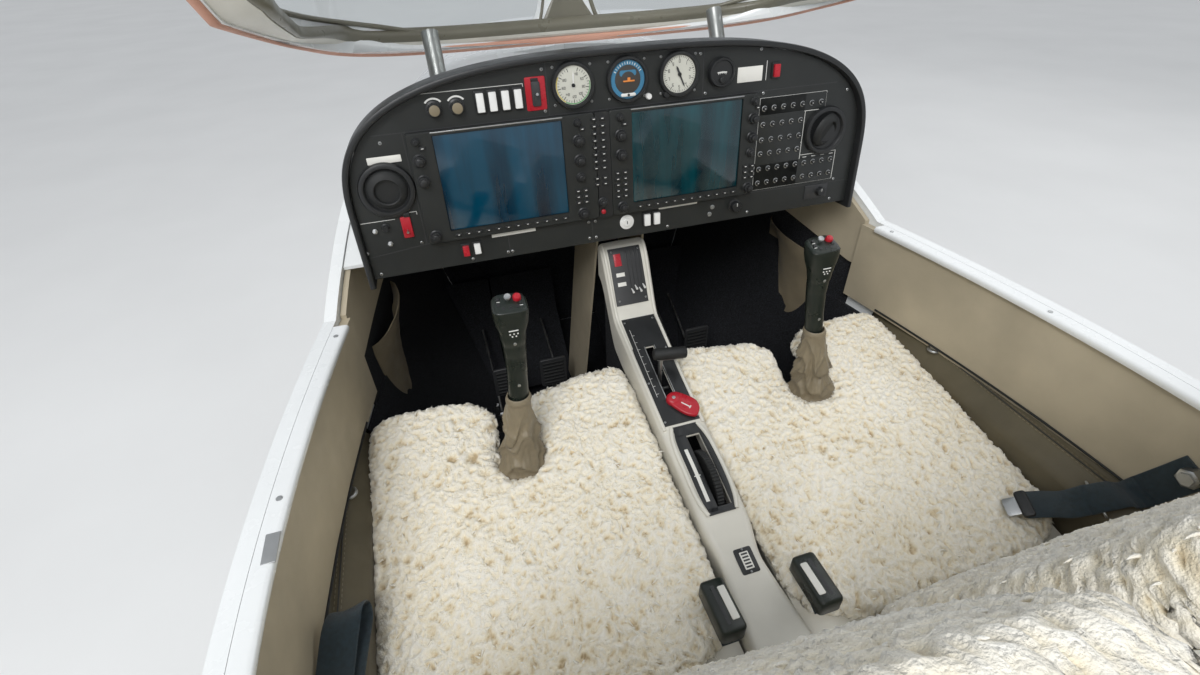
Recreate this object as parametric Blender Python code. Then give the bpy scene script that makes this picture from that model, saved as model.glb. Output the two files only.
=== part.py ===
"""Cockpit section of a light aircraft, from firewall to seat bulkhead, with its raised canopy.

Metres, +Z up, +Y towards the nose, +X to the right. The model's origin is on the saddle plate under
the belly, where the wing's centre section bolts on. Inside the script every place is measured from the
instrument panel: y ahead of the panel's face, z above the centre of its displays, and `add` puts the
finished piece at that place in the model.
"""

import bmesh
import bpy
from math import asin, atan, cos, pi, radians, sin, sqrt, tan
from mathutils import Matrix, Vector

for old in list(bpy.data.objects):
    bpy.data.objects.remove(old, do_unlink=True)

# Where the panel's datum lies in the model
PANEL_Y = 0.45
DISPLAY_Z = 0.85

# Fits
GAP = 0.0003
FIT = 0.0006
CLEAR = 0.006
# How far a cutter runs past the piece it cuts
BEYOND = 0.1

# Instrument panel. PANEL_HALF sets the width of the whole section, DISPLAY_H the height of the panel
PANEL_HALF = 0.478
SPREAD = PANEL_HALF / 0.478
DISPLAY_H = 0.184
TALL = DISPLAY_H / 0.184
DISPLAY_DROP = 0.006
DISPLAY_DEEP = 0.012
DISPLAY_TOP = DISPLAY_H / 2 - DISPLAY_DROP
DISPLAY_LOW = -DISPLAY_H / 2 - DISPLAY_DROP
GLASS_W = 0.2112 * SPREAD
GLASS_H = DISPLAY_H - 0.0256
DIAL_R = 0.036
DIAL_GAP = 0.0085
DIAL_Z = DISPLAY_TOP + DIAL_GAP + DIAL_R
VENT_R = 0.045 * min(SPREAD, 1.0)
PANEL_LEAN = radians(5)
PANEL_TOP = DIAL_Z + DIAL_R + 0.0035
PANEL_SHOULDER = -0.047
PANEL_POWER = 3.0
PANEL_LOW = DISPLAY_LOW - 0.052
PANEL_THICK = 0.006
LIP_THICK = 0.010
LIP_AHEAD = 0.045
LIP_AFT = 0.014

# Fuselage
FUSELAGE_AFT = -0.98
FIREWALL_Y = 0.62
FIREWALL_THICK = 0.012
WIDEST_Y = -0.60
PANEL_ROOM = 0.162
WIDEST_HALF = PANEL_HALF + PANEL_ROOM
WIDE_Z = -0.30
TAPER = 0.07
TAPER_RUN = 0.60
TAPER_POWER = 1.7
KEEL_Z = -0.875
SADDLE_THICK = 0.006
SADDLE_HALF = 0.160
BELLY_Z = -DISPLAY_Z + SADDLE_THICK + GAP
NOSE_RISE = 0.12
WALL = 0.020
SIDE_POINTS = 16
UPPER_POWER = 2.6
NOSE_POWER = 3.4
NOSE_POWER_FROM = 0.05
LOWER_POWER = 2.8

# Part line between fuselage and canopy
SILL_Z = -0.20
BROW_Y = 0.32
BROW_Z = 0.036
BROW_SLOPE = 0.654
COWL_Z = 0.115
COWL_Y = 0.450
CROWN_Y = -0.75
CROWN_Z = 0.60
CROWN_POWER = 2.0
CROWN_ROUND = 0.8
SILL_WIDTH = 0.045
SILL_THICK = 0.012

# Canopy
CANOPY_WALL = 0.016
CANOPY_BAND = 0.085
CANOPY_POST = 0.035
GLASS_LAP = 0.015
GLASS_THICK = 0.004
CANOPY_AFT = -0.955
CANOPY_ARCH = 0.07
CANOPY_OPEN = radians(50)
HINGE_Y = 0.45
HINGE_Z = 0.010
ARM_X = PANEL_HALF - 0.181
ARM_R = 0.019

# Console and tunnel
CONSOLE_HALF = 0.046
CONSOLE_DEEP = 0.075

# Seats
LEDGE_IN = WIDEST_HALF - 0.090
SEAT_IN = 0.0515
SEAT_OUT = LEDGE_IN - 0.005
SEAT_AFT = -0.660
SHELL_THICK = 0.012
FLEECE_THICK = 0.035
BACK_TOP = 0.13
BACK_LEAN = 0.38
SEAT_FRONT = -0.110
NOTCH_IN = 0.240
NOTCH_OUT = 0.350
NOTCH_AFT = -0.335

# Controls
STICK_X = 0.306
STICK_Y = -0.300
STICK_Z = -0.560
TUBE_R = 0.015

# Colours: colour, roughness, metallic
MATERIALS = {
    "white": ((0.86, 0.87, 0.86), 0.25, 0.0),
    "cream": ((0.80, 0.77, 0.68), 0.50, 0.0),
    "beige": ((0.62, 0.55, 0.42), 0.60, 0.0),
    "olive": ((0.17, 0.14, 0.09), 0.60, 0.0),
    "carpet": ((0.06, 0.06, 0.065), 0.95, 0.0),
    "charcoal": ((0.03, 0.033, 0.036), 0.55, 0.0),
    "black": ((0.012, 0.012, 0.013), 0.45, 0.0),
    "screen": ((0.0, 0.10, 0.16), 0.15, 0.0),
    "metal": ((0.55, 0.56, 0.57), 0.30, 1.0),
    "red": ((0.55, 0.03, 0.03), 0.40, 0.0),
    "tan": ((0.30, 0.23, 0.15), 0.60, 0.0),
    "fleece": ((0.84, 0.76, 0.60), 0.95, 0.0),
    "webbing": ((0.02, 0.05, 0.07), 0.80, 0.0),
    "glass": ((0.80, 0.88, 0.90), 0.05, 0.0),
    "salmon": ((0.75, 0.45, 0.35), 0.60, 0.0),
}


# Mesh helpers


def solid(rings):
    """A closed solid through rings of equal length, with its two ends capped."""
    bm = bmesh.new()
    loops = [[bm.verts.new(p) for p in ring] for ring in rings]
    count = len(rings[0])
    for a, b in zip(loops, loops[1:]):
        for i in range(count):
            j = (i + 1) % count
            bm.faces.new((a[i], a[j], b[j]))
            bm.faces.new((a[i], b[j], b[i]))
    bm.faces.new(loops[0][::-1])
    bm.faces.new(loops[-1])
    bmesh.ops.recalc_face_normals(bm, faces=bm.faces)
    return bm


def prism(outline, axis, low, high):
    """An outline of (a, b) pairs pushed along X (y, z), Y (x, z) or Z (x, y)."""
    place = {
        "X": lambda a, b, t: (t, a, b),
        "Y": lambda a, b, t: (a, t, b),
        "Z": lambda a, b, t: (a, b, t),
    }[axis]
    return solid([[place(a, b, t) for a, b in outline] for t in (low, high)])


def block(x, y, z):
    """A box from three (low, high) pairs."""
    return prism([(x[0], y[0]), (x[1], y[0]), (x[1], y[1]), (x[0], y[1])], "Z", z[0], z[1])


def circle(radius, segments, centre=(0.0, 0.0)):
    turns = [2 * pi * i / segments for i in range(segments)]
    return [(centre[0] + radius * cos(t), centre[1] + radius * sin(t)) for t in turns]


def rounded(width, height, radius, centre=(0.0, 0.0), steps=3):
    """A rectangle's outline with its corners rounded."""
    points = []
    for k, (sx, sy) in enumerate(((1, 1), (-1, 1), (-1, -1), (1, -1))):
        cx = centre[0] + sx * (width / 2 - radius)
        cy = centre[1] + sy * (height / 2 - radius)
        for i in range(steps + 1):
            t = pi / 2 * (k + i / steps)
            points.append((cx + radius * cos(t), cy + radius * sin(t)))
    return points


def disc(radius, axis, low, high, centre=(0.0, 0.0), segments=16):
    return prism(circle(radius, segments, centre), axis, low, high)


def pipe(points, radius, segments=12):
    """A round bar that follows points, one ring at each."""
    points = [Vector(p) for p in points]
    rings = []
    side = None
    for i, p in enumerate(points):
        ahead = points[min(i + 1, len(points) - 1)] - points[max(i - 1, 0)]
        ahead.normalize()
        if side is None:
            side = ahead.orthogonal().normalized()
        side = (side - ahead * side.dot(ahead)).normalized()
        up = ahead.cross(side)
        r = radius[i] if isinstance(radius, (list, tuple)) else radius
        turns = [2 * pi * k / segments for k in range(segments)]
        rings.append([p + side * r * cos(t) + up * r * sin(t) for t in turns])
    return solid(rings)


def shell(rows, back):
    """A closed sheet between two grids of points, front and back, of the same size."""
    bm = bmesh.new()
    front = [[bm.verts.new(p) for p in row] for row in rows]
    rear = [[bm.verts.new(p) for p in row] for row in back]
    tall, wide = len(rows), len(rows[0])
    for i in range(tall - 1):
        for j in range(wide - 1):
            for side in (front, rear):
                bm.faces.new((side[i][j], side[i][j + 1], side[i + 1][j + 1]))
                bm.faces.new((side[i][j], side[i + 1][j + 1], side[i + 1][j]))
    edge = [(0, j) for j in range(wide)] + [(i, wide - 1) for i in range(1, tall)]
    edge += [(tall - 1, j) for j in range(wide - 2, -1, -1)] + [(i, 0) for i in range(tall - 2, 0, -1)]
    for (a, b), (c, d) in zip(edge, edge[1:] + edge[:1]):
        bm.faces.new((front[a][b], rear[a][b], rear[c][d], front[c][d]))
    bmesh.ops.recalc_face_normals(bm, faces=bm.faces)
    return bm


def boolean(first, second, operation):
    """Cuts `second` from `first` or joins the two, and gives back the result."""
    pair = []
    for bm in (first, second):
        mesh = bpy.data.meshes.new("working")
        bm.to_mesh(mesh)
        bm.free()
        ob = bpy.data.objects.new("working", mesh)
        bpy.context.scene.collection.objects.link(ob)
        pair.append(ob)
    tool = pair[0].modifiers.new("tool", "BOOLEAN")
    tool.operation = operation
    tool.solver = "EXACT"
    tool.object = pair[1]
    done = pair[0].evaluated_get(bpy.context.evaluated_depsgraph_get()).to_mesh()
    result = bmesh.new()
    result.from_mesh(done)
    for ob in pair:
        bpy.data.objects.remove(ob, do_unlink=True)
    return result


def together(pieces):
    """Several solids that don't touch, as one mesh."""
    bm = bmesh.new()
    for piece in pieces:
        mesh = bpy.data.meshes.new("working")
        piece.to_mesh(mesh)
        piece.free()
        bm.from_mesh(mesh)
        bpy.data.meshes.remove(mesh)
    return bm


def cut(body, *tools):
    for tool in tools:
        body = boolean(body, tool, "DIFFERENCE")
    return body


def join(body, *more):
    for other in more:
        body = boolean(body, other, "UNION")
    return body


def moved(bm, matrix):
    bm.transform(matrix)
    return bm


def mirrored(bm):
    """The same piece on the other side of the centre plane."""
    bm.transform(Matrix.Scale(-1, 4, Vector((1, 0, 0))))
    bmesh.ops.reverse_faces(bm, faces=bm.faces)
    return bm


def add(name, bm, material, pivot=(0.0, 0.0, 0.0), smooth=40):
    """Makes the node, with its origin at `pivot`, and gives it its material."""
    colour, rough, metal = MATERIALS[material]
    bm.transform(Matrix.Translation(-Vector(pivot)))
    mesh = bpy.data.meshes.new(name)
    bm.to_mesh(mesh)
    bm.free()
    mesh.shade_smooth()
    mesh.set_sharp_from_angle(angle=radians(smooth))
    ob = bpy.data.objects.new(name, mesh)
    bpy.context.scene.collection.objects.link(ob)
    ob.location = Vector((0.0, PANEL_Y, DISPLAY_Z)) + Vector(pivot)
    paint = bpy.data.materials.new(name)
    paint.use_nodes = True
    surface = paint.node_tree.nodes["Principled BSDF"]
    surface.inputs["Base Color"].default_value = (*colour, 1.0)
    surface.inputs["Roughness"].default_value = rough
    surface.inputs["Metallic"].default_value = metal
    mesh.materials.append(paint)
    return ob


def both_sides(name, make, material, pivot=(0.0, 0.0, 0.0)):
    """A piece for the right side and its mirror image for the left."""
    add("right_" + name, make(), material, pivot)
    add("left_" + name, mirrored(make()), material, (-pivot[0], pivot[1], pivot[2]))


# Fuselage form


def half_width(y):
    """Greatest half width of the body at a station."""
    run = max(y - WIDEST_Y, 0.0) / TAPER_RUN
    return WIDEST_HALF - TAPER * run**TAPER_POWER


def top(y):
    """Height of the body's top line, canopy shut."""
    if y >= BROW_Y:
        share = min((y - BROW_Y) / (COWL_Y - BROW_Y), 1.0)
        return BROW_Z + (COWL_Z - BROW_Z) * share * share * (3 - 2 * share)
    run = max(y - CROWN_Y, 0.0) / (BROW_Y - CROWN_Y)
    return BROW_Z + (CROWN_Z - BROW_Z) * (1 - run**CROWN_POWER) ** CROWN_ROUND


def upper_power(y):
    """How square the upper half of the section is."""
    share = min(max((y - NOSE_POWER_FROM) / (COWL_Y - NOSE_POWER_FROM), 0.0), 1.0)
    return UPPER_POWER + (NOSE_POWER - UPPER_POWER) * share


def keel(y):
    """Height of the body's lowest line before the belly is flattened."""
    run = max(y - 0.2, 0.0) / 0.44
    return KEEL_Z + NOSE_RISE * run * run


def part_line(y):
    """Height of the line that parts canopy from fuselage."""
    return min(max(SILL_Z, BROW_Z + (y - BROW_Y) * BROW_SLOPE), top(y))


def skin(y, z, inset=0.0):
    """Half width of the body at a station and height, `inset` inside its skin."""
    wide = half_width(y) - inset
    if z >= WIDE_Z:
        share = (z - WIDE_Z) / (top(y) - inset - WIDE_Z)
        power = upper_power(y)
    else:
        share = (WIDE_Z - z) / (WIDE_Z - keel(y) - inset)
        power = LOWER_POWER
    return wide * max(1 - min(share, 1.0) ** power, 0.0) ** (1 / power)


def side_curve(y, z_from, count, inset, middle):
    """Points down the right side from a height to the centre line of the belly."""
    floor = max(keel(y), BELLY_Z) + inset
    points = []
    upper = count // 3
    share = (z_from - WIDE_Z) / (top(y) - inset - WIDE_Z)
    power = upper_power(y)
    turn = asin(min(share, 1.0) ** (power / 2))
    for i in range(upper):
        t = turn * (1 - i / upper)
        x = (half_width(y) - inset) * max(cos(t), 0.0) ** (2 / power)
        z = WIDE_Z + (top(y) - inset - WIDE_Z) * sin(t) ** (2 / power)
        points.append((max(x, middle), y, z))
    lower = count - upper
    for i in range(lower):
        t = pi / 2 * i / (lower - 1)
        x = (half_width(y) - inset) * max(cos(t), 0.0) ** (2 / LOWER_POWER)
        z = WIDE_Z - (WIDE_Z - keel(y) - inset) * sin(t) ** (2 / LOWER_POWER)
        points.append((max(x, middle), y, max(z, floor)))
    return points


# Where the level part line along the sills meets the sloping one
BEND_Y = BROW_Y - (BROW_Z - SILL_Z) / BROW_SLOPE
BROW_STATIONS = [BEND_Y, 0.03, 0.11, 0.18, 0.195, 0.235, 0.275, 0.30]
STATIONS = [FUSELAGE_AFT, -0.80, -0.60, -0.40, -0.20] + BROW_STATIONS + [BROW_Y, 0.38, 0.46, 0.55, 0.64]


def fuselage_half():
    rows, back = [], []
    for y in STATIONS:
        line = part_line(y)
        rows.append(side_curve(y, line, SIDE_POINTS, 0.0, GAP / 2))
        back.append(side_curve(y, min(line, top(y) - WALL), SIDE_POINTS, WALL, GAP / 2))
    return shell(rows, back)


def cavity(extra=0.0):
    """The room inside the shells, a fit smaller, as one solid."""
    halves = []
    for _ in range(2):
        rings = []
        inset = WALL + FIT + extra
        for y in STATIONS:
            line = min(part_line(y), top(y) - WALL) - extra
            right = side_curve(y, line, SIDE_POINTS, inset, 0.001)
            middle = [(-0.012, y, right[-1][2]), (-0.012, y, right[0][2])]
            rings.append(right + middle)
        halves.append(solid(rings))
    return join(halves[0], mirrored(halves[1]))


def fit(bm, extra=0.0):
    """Trims a piece to the room inside the shells."""
    return boolean(bm, cavity(extra), "INTERSECT")


def make_fuselage():
    both_sides("fuselage_shell", fuselage_half, "white")
    wide = (-1.0, 1.0)
    tall = (-1.0, 1.0)
    wall = fit(block(wide, (FIREWALL_Y - FIREWALL_THICK, FIREWALL_Y), tall), FIT)
    brackets = fit(join(hinge_bracket(), mirrored(hinge_bracket())))
    add("firewall", join(wall, brackets), "metal")
    aft = block(wide, (FUSELAGE_AFT + 0.002, FUSELAGE_AFT + 0.022), (-1.0, SILL_Z - SILL_THICK - GAP))
    add("seat_bulkhead", fit(aft), "cream")
    ends = (-PANEL_Y - SADDLE_HALF, -PANEL_Y + SADDLE_HALF)
    plate = block((-SADDLE_HALF, SADDLE_HALF), ends, (-DISPLAY_Z, -DISPLAY_Z + SADDLE_THICK))
    add("saddle_plate", plate, "metal")


# Floor, spar and side trim

FLOOR_Z = -0.790
FLOOR_THICK = 0.010
BULKHEAD_FACE = FUSELAGE_AFT + 0.022 + GAP
FLOOR_FRONT = FIREWALL_Y - FIREWALL_THICK - GAP
SPAR_AFT = -0.620
SPAR_FRONT = -0.370
SPAR_TOP = -0.580
FLOOR_END = 0.300
TUNNEL = (-0.250, 0.048)
TUNNEL_HALF = 0.040
RISER_FRONT = -0.510
RISER_HALF = 0.036
LUG_X = 0.110
LUG_HALF = 0.012
LEDGE_Z = -0.392
LEDGE_FRONT = -0.100
LEDGE_THICK = 0.030
LEDGE_DEEP = 0.120
LEDGE_SKIRT = 0.012
LEDGE_SLOPE = 0.030
LOWER_TRIM = 0.008
PANEL_DEEP = 0.016
SILL_FRONT = -0.060


def make_floor():
    floor = block((-1.0, 1.0), (BULKHEAD_FACE, FLOOR_END), (FLOOR_Z - FLOOR_THICK, FLOOR_Z))
    tunnel = riser(*TUNNEL, FLOOR_Z - FLOOR_THICK / 2, TUNNEL_HALF)
    add("cabin_floor", join(fit(floor), tunnel), "carpet")
    low = FLOOR_Z + GAP
    spar = fit(block((-1.0, 1.0), (SPAR_AFT, SPAR_FRONT), (low, SPAR_TOP)), LOWER_TRIM + FIT)
    for side in (-1, 1):
        x = LUG_X * side
        reach = (SPAR_FRONT - 0.01, STICK_Y + 2 * TUBE_R)
        lug = block((x - LUG_HALF, x + LUG_HALF), reach, (STICK_Z - 0.05, STICK_Z + 2 * TUBE_R))
        bore = disc(TUBE_R + 0.0008, "X", x - 0.02, x + 0.02, (STICK_Y, STICK_Z))
        spar = join(spar, cut(lug, bore))
    riser_aft = riser(SPAR_AFT + 0.01, RISER_FRONT, SPAR_TOP - 0.02, RISER_HALF)
    add("spar_box", join(spar, riser_aft), "carpet")


def strip(y_aft, y_front, depth, z_low, z_high, count=9, levels=2):
    """A long trim piece against the right wall, `depth` inside the skin, trimmed to the wall."""
    heights = [z_low + (z_high - z_low) * k / (levels - 1) for k in range(levels)]
    rings = []
    for i in range(count):
        y = y_aft + (y_front - y_aft) * i / (count - 1)
        face = [(depth(y, z), y, z) for z in heights]
        rings.append(face + [(1.0, y, z_high), (1.0, y, z_low)])
    return fit(solid(rings))


def ledge():
    """The padded ledge beside a seat: a flat top, a slope, and a skirt down to the seat."""
    under = LEDGE_Z - LEDGE_THICK
    skirt = LEDGE_IN + LEDGE_SKIRT
    outline = [
        (LEDGE_IN, LEDGE_Z - LEDGE_DEEP), (LEDGE_IN, LEDGE_Z - LEDGE_SLOPE),
        (LEDGE_IN + LEDGE_SLOPE, LEDGE_Z), (1.0, LEDGE_Z), (1.0, under),
        (skirt + 0.010, under), (skirt, under - 0.010), (skirt, LEDGE_Z - LEDGE_DEEP),
    ]
    return fit(prism(outline, "Y", BULKHEAD_FACE, LEDGE_FRONT))


def make_sides():
    def depth(amount):
        return lambda y, z: skin(y, z, amount)

    def sill():
        low = SILL_Z - SILL_THICK
        return strip(FUSELAGE_AFT + 0.002, SILL_FRONT, depth(SILL_WIDTH), low, SILL_Z - 0.001)

    def panel():
        high = SILL_Z - SILL_THICK - GAP
        return strip(BULKHEAD_FACE, -0.02, depth(WALL + PANEL_DEEP), LEDGE_Z + GAP, high)

    def low_panel():
        high = LEDGE_Z - LEDGE_THICK - GAP
        panel = strip(BULKHEAD_FACE, 0.25, depth(WALL + LOWER_TRIM), FLOOR_Z + 0.10, high, 15, 7)
        ends = (BULKHEAD_FACE - BEYOND, LEDGE_FRONT + GAP)
        return cut(panel, block((LEDGE_IN - GAP, 1.0), ends, (LEDGE_Z - LEDGE_DEEP - GAP, 0.0)))

    both_sides("sill", sill, "white")
    both_sides("side_panel", panel, "beige")
    both_sides("ledge", ledge, "olive")
    both_sides("lower_panel", low_panel, "beige")


# Deck and instrument panel

TILT = Matrix.Rotation(-PANEL_LEAN, 4, "X")


def panel_edge(grow, count=25):
    """The panel's outline from lower left, over the top, to lower right, as (x, z)."""
    points = []
    for i in range(count):
        t = pi * (1 - i / (count - 1))
        c, s = cos(t), sin(t)
        x = (PANEL_HALF + grow) * abs(c) ** (2 / PANEL_POWER) * (1 if c >= 0 else -1)
        z = PANEL_SHOULDER + (PANEL_TOP + grow - PANEL_SHOULDER) * abs(s) ** (2 / PANEL_POWER)
        points.append((x, z))
    low = PANEL_LOW - grow
    return [(-PANEL_HALF - grow, low)] + points + [(PANEL_HALF + grow, low)]


def make_panel():
    face = join(prism(panel_edge(0.0), "Y", 0.0, PANEL_THICK), switches())
    add("panel_face", moved(face, TILT), "charcoal")
    lip = prism(panel_edge(LIP_THICK + GAP), "Y", -LIP_AFT, LIP_AHEAD)
    hole = panel_edge(GAP)
    hole[0] = (hole[0][0], PANEL_LOW - BEYOND)
    hole[-1] = (hole[-1][0], PANEL_LOW - BEYOND)
    lip = cut(lip, prism(hole, "Y", -BEYOND, BEYOND))
    add("panel_lip", moved(lip, TILT), "black")


def across(*places):
    """Places across the panel, spread with its width."""
    return [SPREAD * place for place in places]


# Displays: glass centre, left edge, right edge, the columns of knobs
DISPLAYS = {
    "left": across(-0.2277, -0.374, -0.065, -0.3595, -0.0957),
    "right": across(0.1077, -0.039, 0.247, -0.0200, 0.2360),
}
KNOB_ROWS = ((0.0733, 0.0062), (0.0440, 0.0095), (0.0108, 0.0095), (-0.0840, 0.0095))
KNOB_HIGH = 0.012
KEY_COUNT = 12
KEY_Z = DISPLAY_LOW + 0.0102
KEY_HALF = (0.005 * SPREAD, 0.0024)
AUDIO_EDGES = across(-0.0645, -0.0395)
DIALS = tuple(zip(("airspeed_dial", "attitude_dial", "altimeter"), across(-0.096, -0.002, 0.091)))
COMPASS_X, COMPASS_R = 0.170 * SPREAD, 0.024 * min(SPREAD, 1.0)
VENTS = dict(zip(("left", "right"), across(-0.420, 0.402)))
VENT_Z = 0.002
# Breaker panel: its plate round the right vent, and the height and count of each row
BREAKER_EDGE = (
    (0.2555, -0.0965), (0.4355, -0.0965), (0.4355, -0.0475), (0.3545, -0.0475),
    (0.3545, 0.0495), (0.3980, 0.0495), (0.3980, 0.0740), (0.2555, 0.0740),
)
BREAKER_X, BREAKER_PITCH = 0.2648, 0.0201
BREAKER_R, BREAKER_HIGH = 0.0045, 0.005
BREAKER_ROWS = ((0.0560, 7), (0.0272, 5), (-0.0008, 5), (-0.0265, 5), (-0.0562, 9), (-0.0832, 9))
# Switches on the panel: x, height from the dials' centres or from the panel's lower edge, width, height
UPPER_SWITCHES = (
    (-0.2490, -0.0115, 0.0168, 0.0345), (-0.2290, -0.0115, 0.0168, 0.0345),
    (-0.2085, -0.0115, 0.0168, 0.0345), (-0.1880, -0.0115, 0.0168, 0.0345),
    (-0.1580, -0.0075, 0.0300, 0.0480), (0.2800, -0.0110, 0.0165, 0.0270),
)
LOWER_SWITCHES = (
    (-0.3142, 0.0275, 0.0160, 0.0250), (-0.2940, 0.0285, 0.0160, 0.0250),
    (0.0306, 0.0300, 0.0165, 0.0280), (0.0503, 0.0300, 0.0165, 0.0280),
)
SWITCH_HIGH = 0.0035


def display(centre, left, right, *columns):
    low = -DISPLAY_DEEP - GAP
    middle = ((left + right) / 2, -DISPLAY_DROP)
    frame = prism(rounded(right - left, DISPLAY_H, 0.006, middle), "Y", low, -GAP)
    window = prism(rounded(GLASS_W, GLASS_H, 0.003, (centre, 0.0)), "Y", low - 0.01, low + 0.002)
    controls = []
    for x in columns:
        for z, radius in KNOB_ROWS:
            size = radius * min(SPREAD, TALL, 1.0)
            controls.append(disc(size, "Y", low - KNOB_HIGH, low + 0.001, (x, z * TALL), 8))
    half, tall = KEY_HALF
    for k in range(KEY_COUNT):
        x = centre + (GLASS_W - 4 * half) * (k / (KEY_COUNT - 1) - 0.5)
        rise = (low - 0.002, low + 0.001)
        controls.append(block((x - half, x + half), rise, (KEY_Z - tall, KEY_Z + tall)))
    return join(cut(frame, window), together(controls))


def breaker_panel():
    plate = prism([(SPREAD * x, z) for x, z in BREAKER_EDGE], "Y", -0.004, -GAP)
    buttons = []
    for z, count in BREAKER_ROWS:
        for k in range(count):
            place = (SPREAD * (BREAKER_X + BREAKER_PITCH * k), z)
            buttons.append(disc(BREAKER_R, "Y", -0.004 - BREAKER_HIGH, -0.003, place, 6))
    return join(plate, together(buttons))


def switches():
    """The switch housings that stand on the panel."""
    blocks = []
    for level, rows in ((DIAL_Z, UPPER_SWITCHES), (PANEL_LOW, LOWER_SWITCHES)):
        for x, up, wide, tall in rows:
            sides = (SPREAD * (x - wide / 2), SPREAD * (x + wide / 2))
            ends = (level + up - tall / 2, level + up + tall / 2)
            blocks.append(block(sides, (-SWITCH_HIGH, PANEL_THICK / 2), ends))
    return together(blocks)


def make_instruments():
    for side, places in DISPLAYS.items():
        add(side + "_display", moved(display(*places), TILT), "screen")
    left, right = AUDIO_EDGES
    unit = rounded(right - left, DISPLAY_H, 0.004, ((left + right) / 2, -DISPLAY_DROP))
    add("audio_unit", moved(prism(unit, "Y", -DISPLAY_DEEP, -GAP), TILT), "black")
    for name, x in DIALS:
        ring = disc(DIAL_R, "Y", -0.010, -GAP, (x, DIAL_Z), 24)
        well = disc(DIAL_R - 0.004, "Y", -0.02, -0.006, (x, DIAL_Z), 24)
        add(name, moved(cut(ring, well), TILT), "black")
    compass = disc(COMPASS_R, "Y", -0.012, -GAP, (COMPASS_X, DIAL_Z - 0.004), 24)
    add("compass_dial", moved(compass, TILT), "black")
    for side, x in VENTS.items():
        ring = disc(VENT_R, "Y", -0.016, -GAP, (x, VENT_Z), 24)
        well = disc(VENT_R - 0.012, "Y", -0.03, -0.004, (x, VENT_Z), 24)
        add(side + "_vent", moved(cut(ring, well), TILT), "black")
    add("breaker_panel", moved(breaker_panel(), TILT), "charcoal")


SHELF_DROP = 0.006
SHELF_THICK = 0.006
POD_HALF = PANEL_HALF - 0.108
POD_FRONT = 0.205
POD_POWER = 2.3
SLOT_Y = (0.200, 0.282)
SLOT_HALF_X = 0.027


def rim_points(inset, count=15):
    """Plan of the part line on the right, from the sill's front round to the centre line."""
    points = []
    for i in range(count - 1):
        share = i / (count - 1)
        y = SILL_FRONT + (BROW_Y - SILL_FRONT) * (1 - (1 - share) ** 2)
        x = skin(y, part_line(y), inset)
        if x > 0.03:
            points.append((x, y))
    return points + [(0.0, BROW_Y - inset)]


def plane_z(y):
    """Height of the sloping part plane, carried on past the body."""
    return BROW_Z + (y - BROW_Y) * BROW_SLOPE


def pod_outline(grow=0.0, count=13):
    """Foot of the pod on the shelf, right side, aft to front."""
    points = []
    for i in range(count):
        t = pi / 2 * i / (count - 1)
        x = (POD_HALF + grow) * max(cos(t), 0.0) ** (2 / POD_POWER)
        y = LIP_AHEAD + 0.002 + (POD_FRONT + grow - LIP_AHEAD) * sin(t) ** (2 / POD_POWER)
        points.append((x, y))
    return points


def make_deck():
    """The pod ahead of the panel and the shelf round it, one moulding."""
    near = LIP_AHEAD + 0.004
    rim = [(x, y) for x, y in rim_points(WALL / 2) if y > near]
    outline = [(skin(near, part_line(near), WALL / 2), near)] + rim
    outline += [(-x, y) for x, y in reversed(outline[:-1])]
    rings = []
    for drop in (SHELF_DROP, SHELF_DROP + SHELF_THICK):
        rings.append([(x, y, plane_z(y) - drop) for x, y in outline])
    shelf = fit(solid(rings))
    right = pod_outline(-0.018)
    room = [(x, y) for x, y in right if y > LIP_AHEAD + 0.01]
    room = [(right[0][0], near - 0.05)] + room
    hole = prism(room + [(-x, y) for x, y in reversed(room)], "Z", -1.0, 1.0)
    shelf = cut(shelf, hole)
    for side in (-1, 1):
        x = side * ARM_X
        slot = block((x - SLOT_HALF_X, x + SLOT_HALF_X), SLOT_Y, (-1.0, 1.0))
        shelf = cut(shelf, slot)
    return join(shelf, make_pod())


def make_pod():
    """A crowned hood from the panel's lip down to the shelf."""
    near = LIP_AHEAD + 0.004
    rows, back = [], []
    for k in range(9):
        r = k / 8
        row, under = [], []
        for i in range(21):
            t = pi * (1 - i / 20)
            c, q = cos(t), sin(t)
            sign = 1 if c >= 0 else -1
            start_x = POD_HALF * abs(c) ** (2 / PANEL_POWER) * sign
            start_z = PANEL_SHOULDER + (PANEL_TOP - 0.006 - PANEL_SHOULDER) * q ** (2 / PANEL_POWER)
            end_x = (POD_HALF - 0.01) * abs(c) ** (2 / POD_POWER) * sign
            end_y = near + (POD_FRONT - near) * q ** (2 / POD_POWER)
            rear = (PANEL_THICK + 2 * GAP) / cos(PANEL_LEAN) + start_z * tan(PANEL_LEAN)
            y = rear + (max(end_y, near + 0.002) - rear) * r
            x = start_x + (end_x - start_x) * r
            foot = plane_z(y) - SHELF_DROP - SHELF_THICK / 2
            z = foot + (start_z - foot) * sqrt(max(1 - r ** 2.4, 0.0))
            row.append((x, y, z))
            under.append((x * 0.985, y - 0.004 * r, z - 0.005))
        rows.append(row)
        back.append(under)
    return shell(rows, back)


# Console, quadrant and trim wheel

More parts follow.
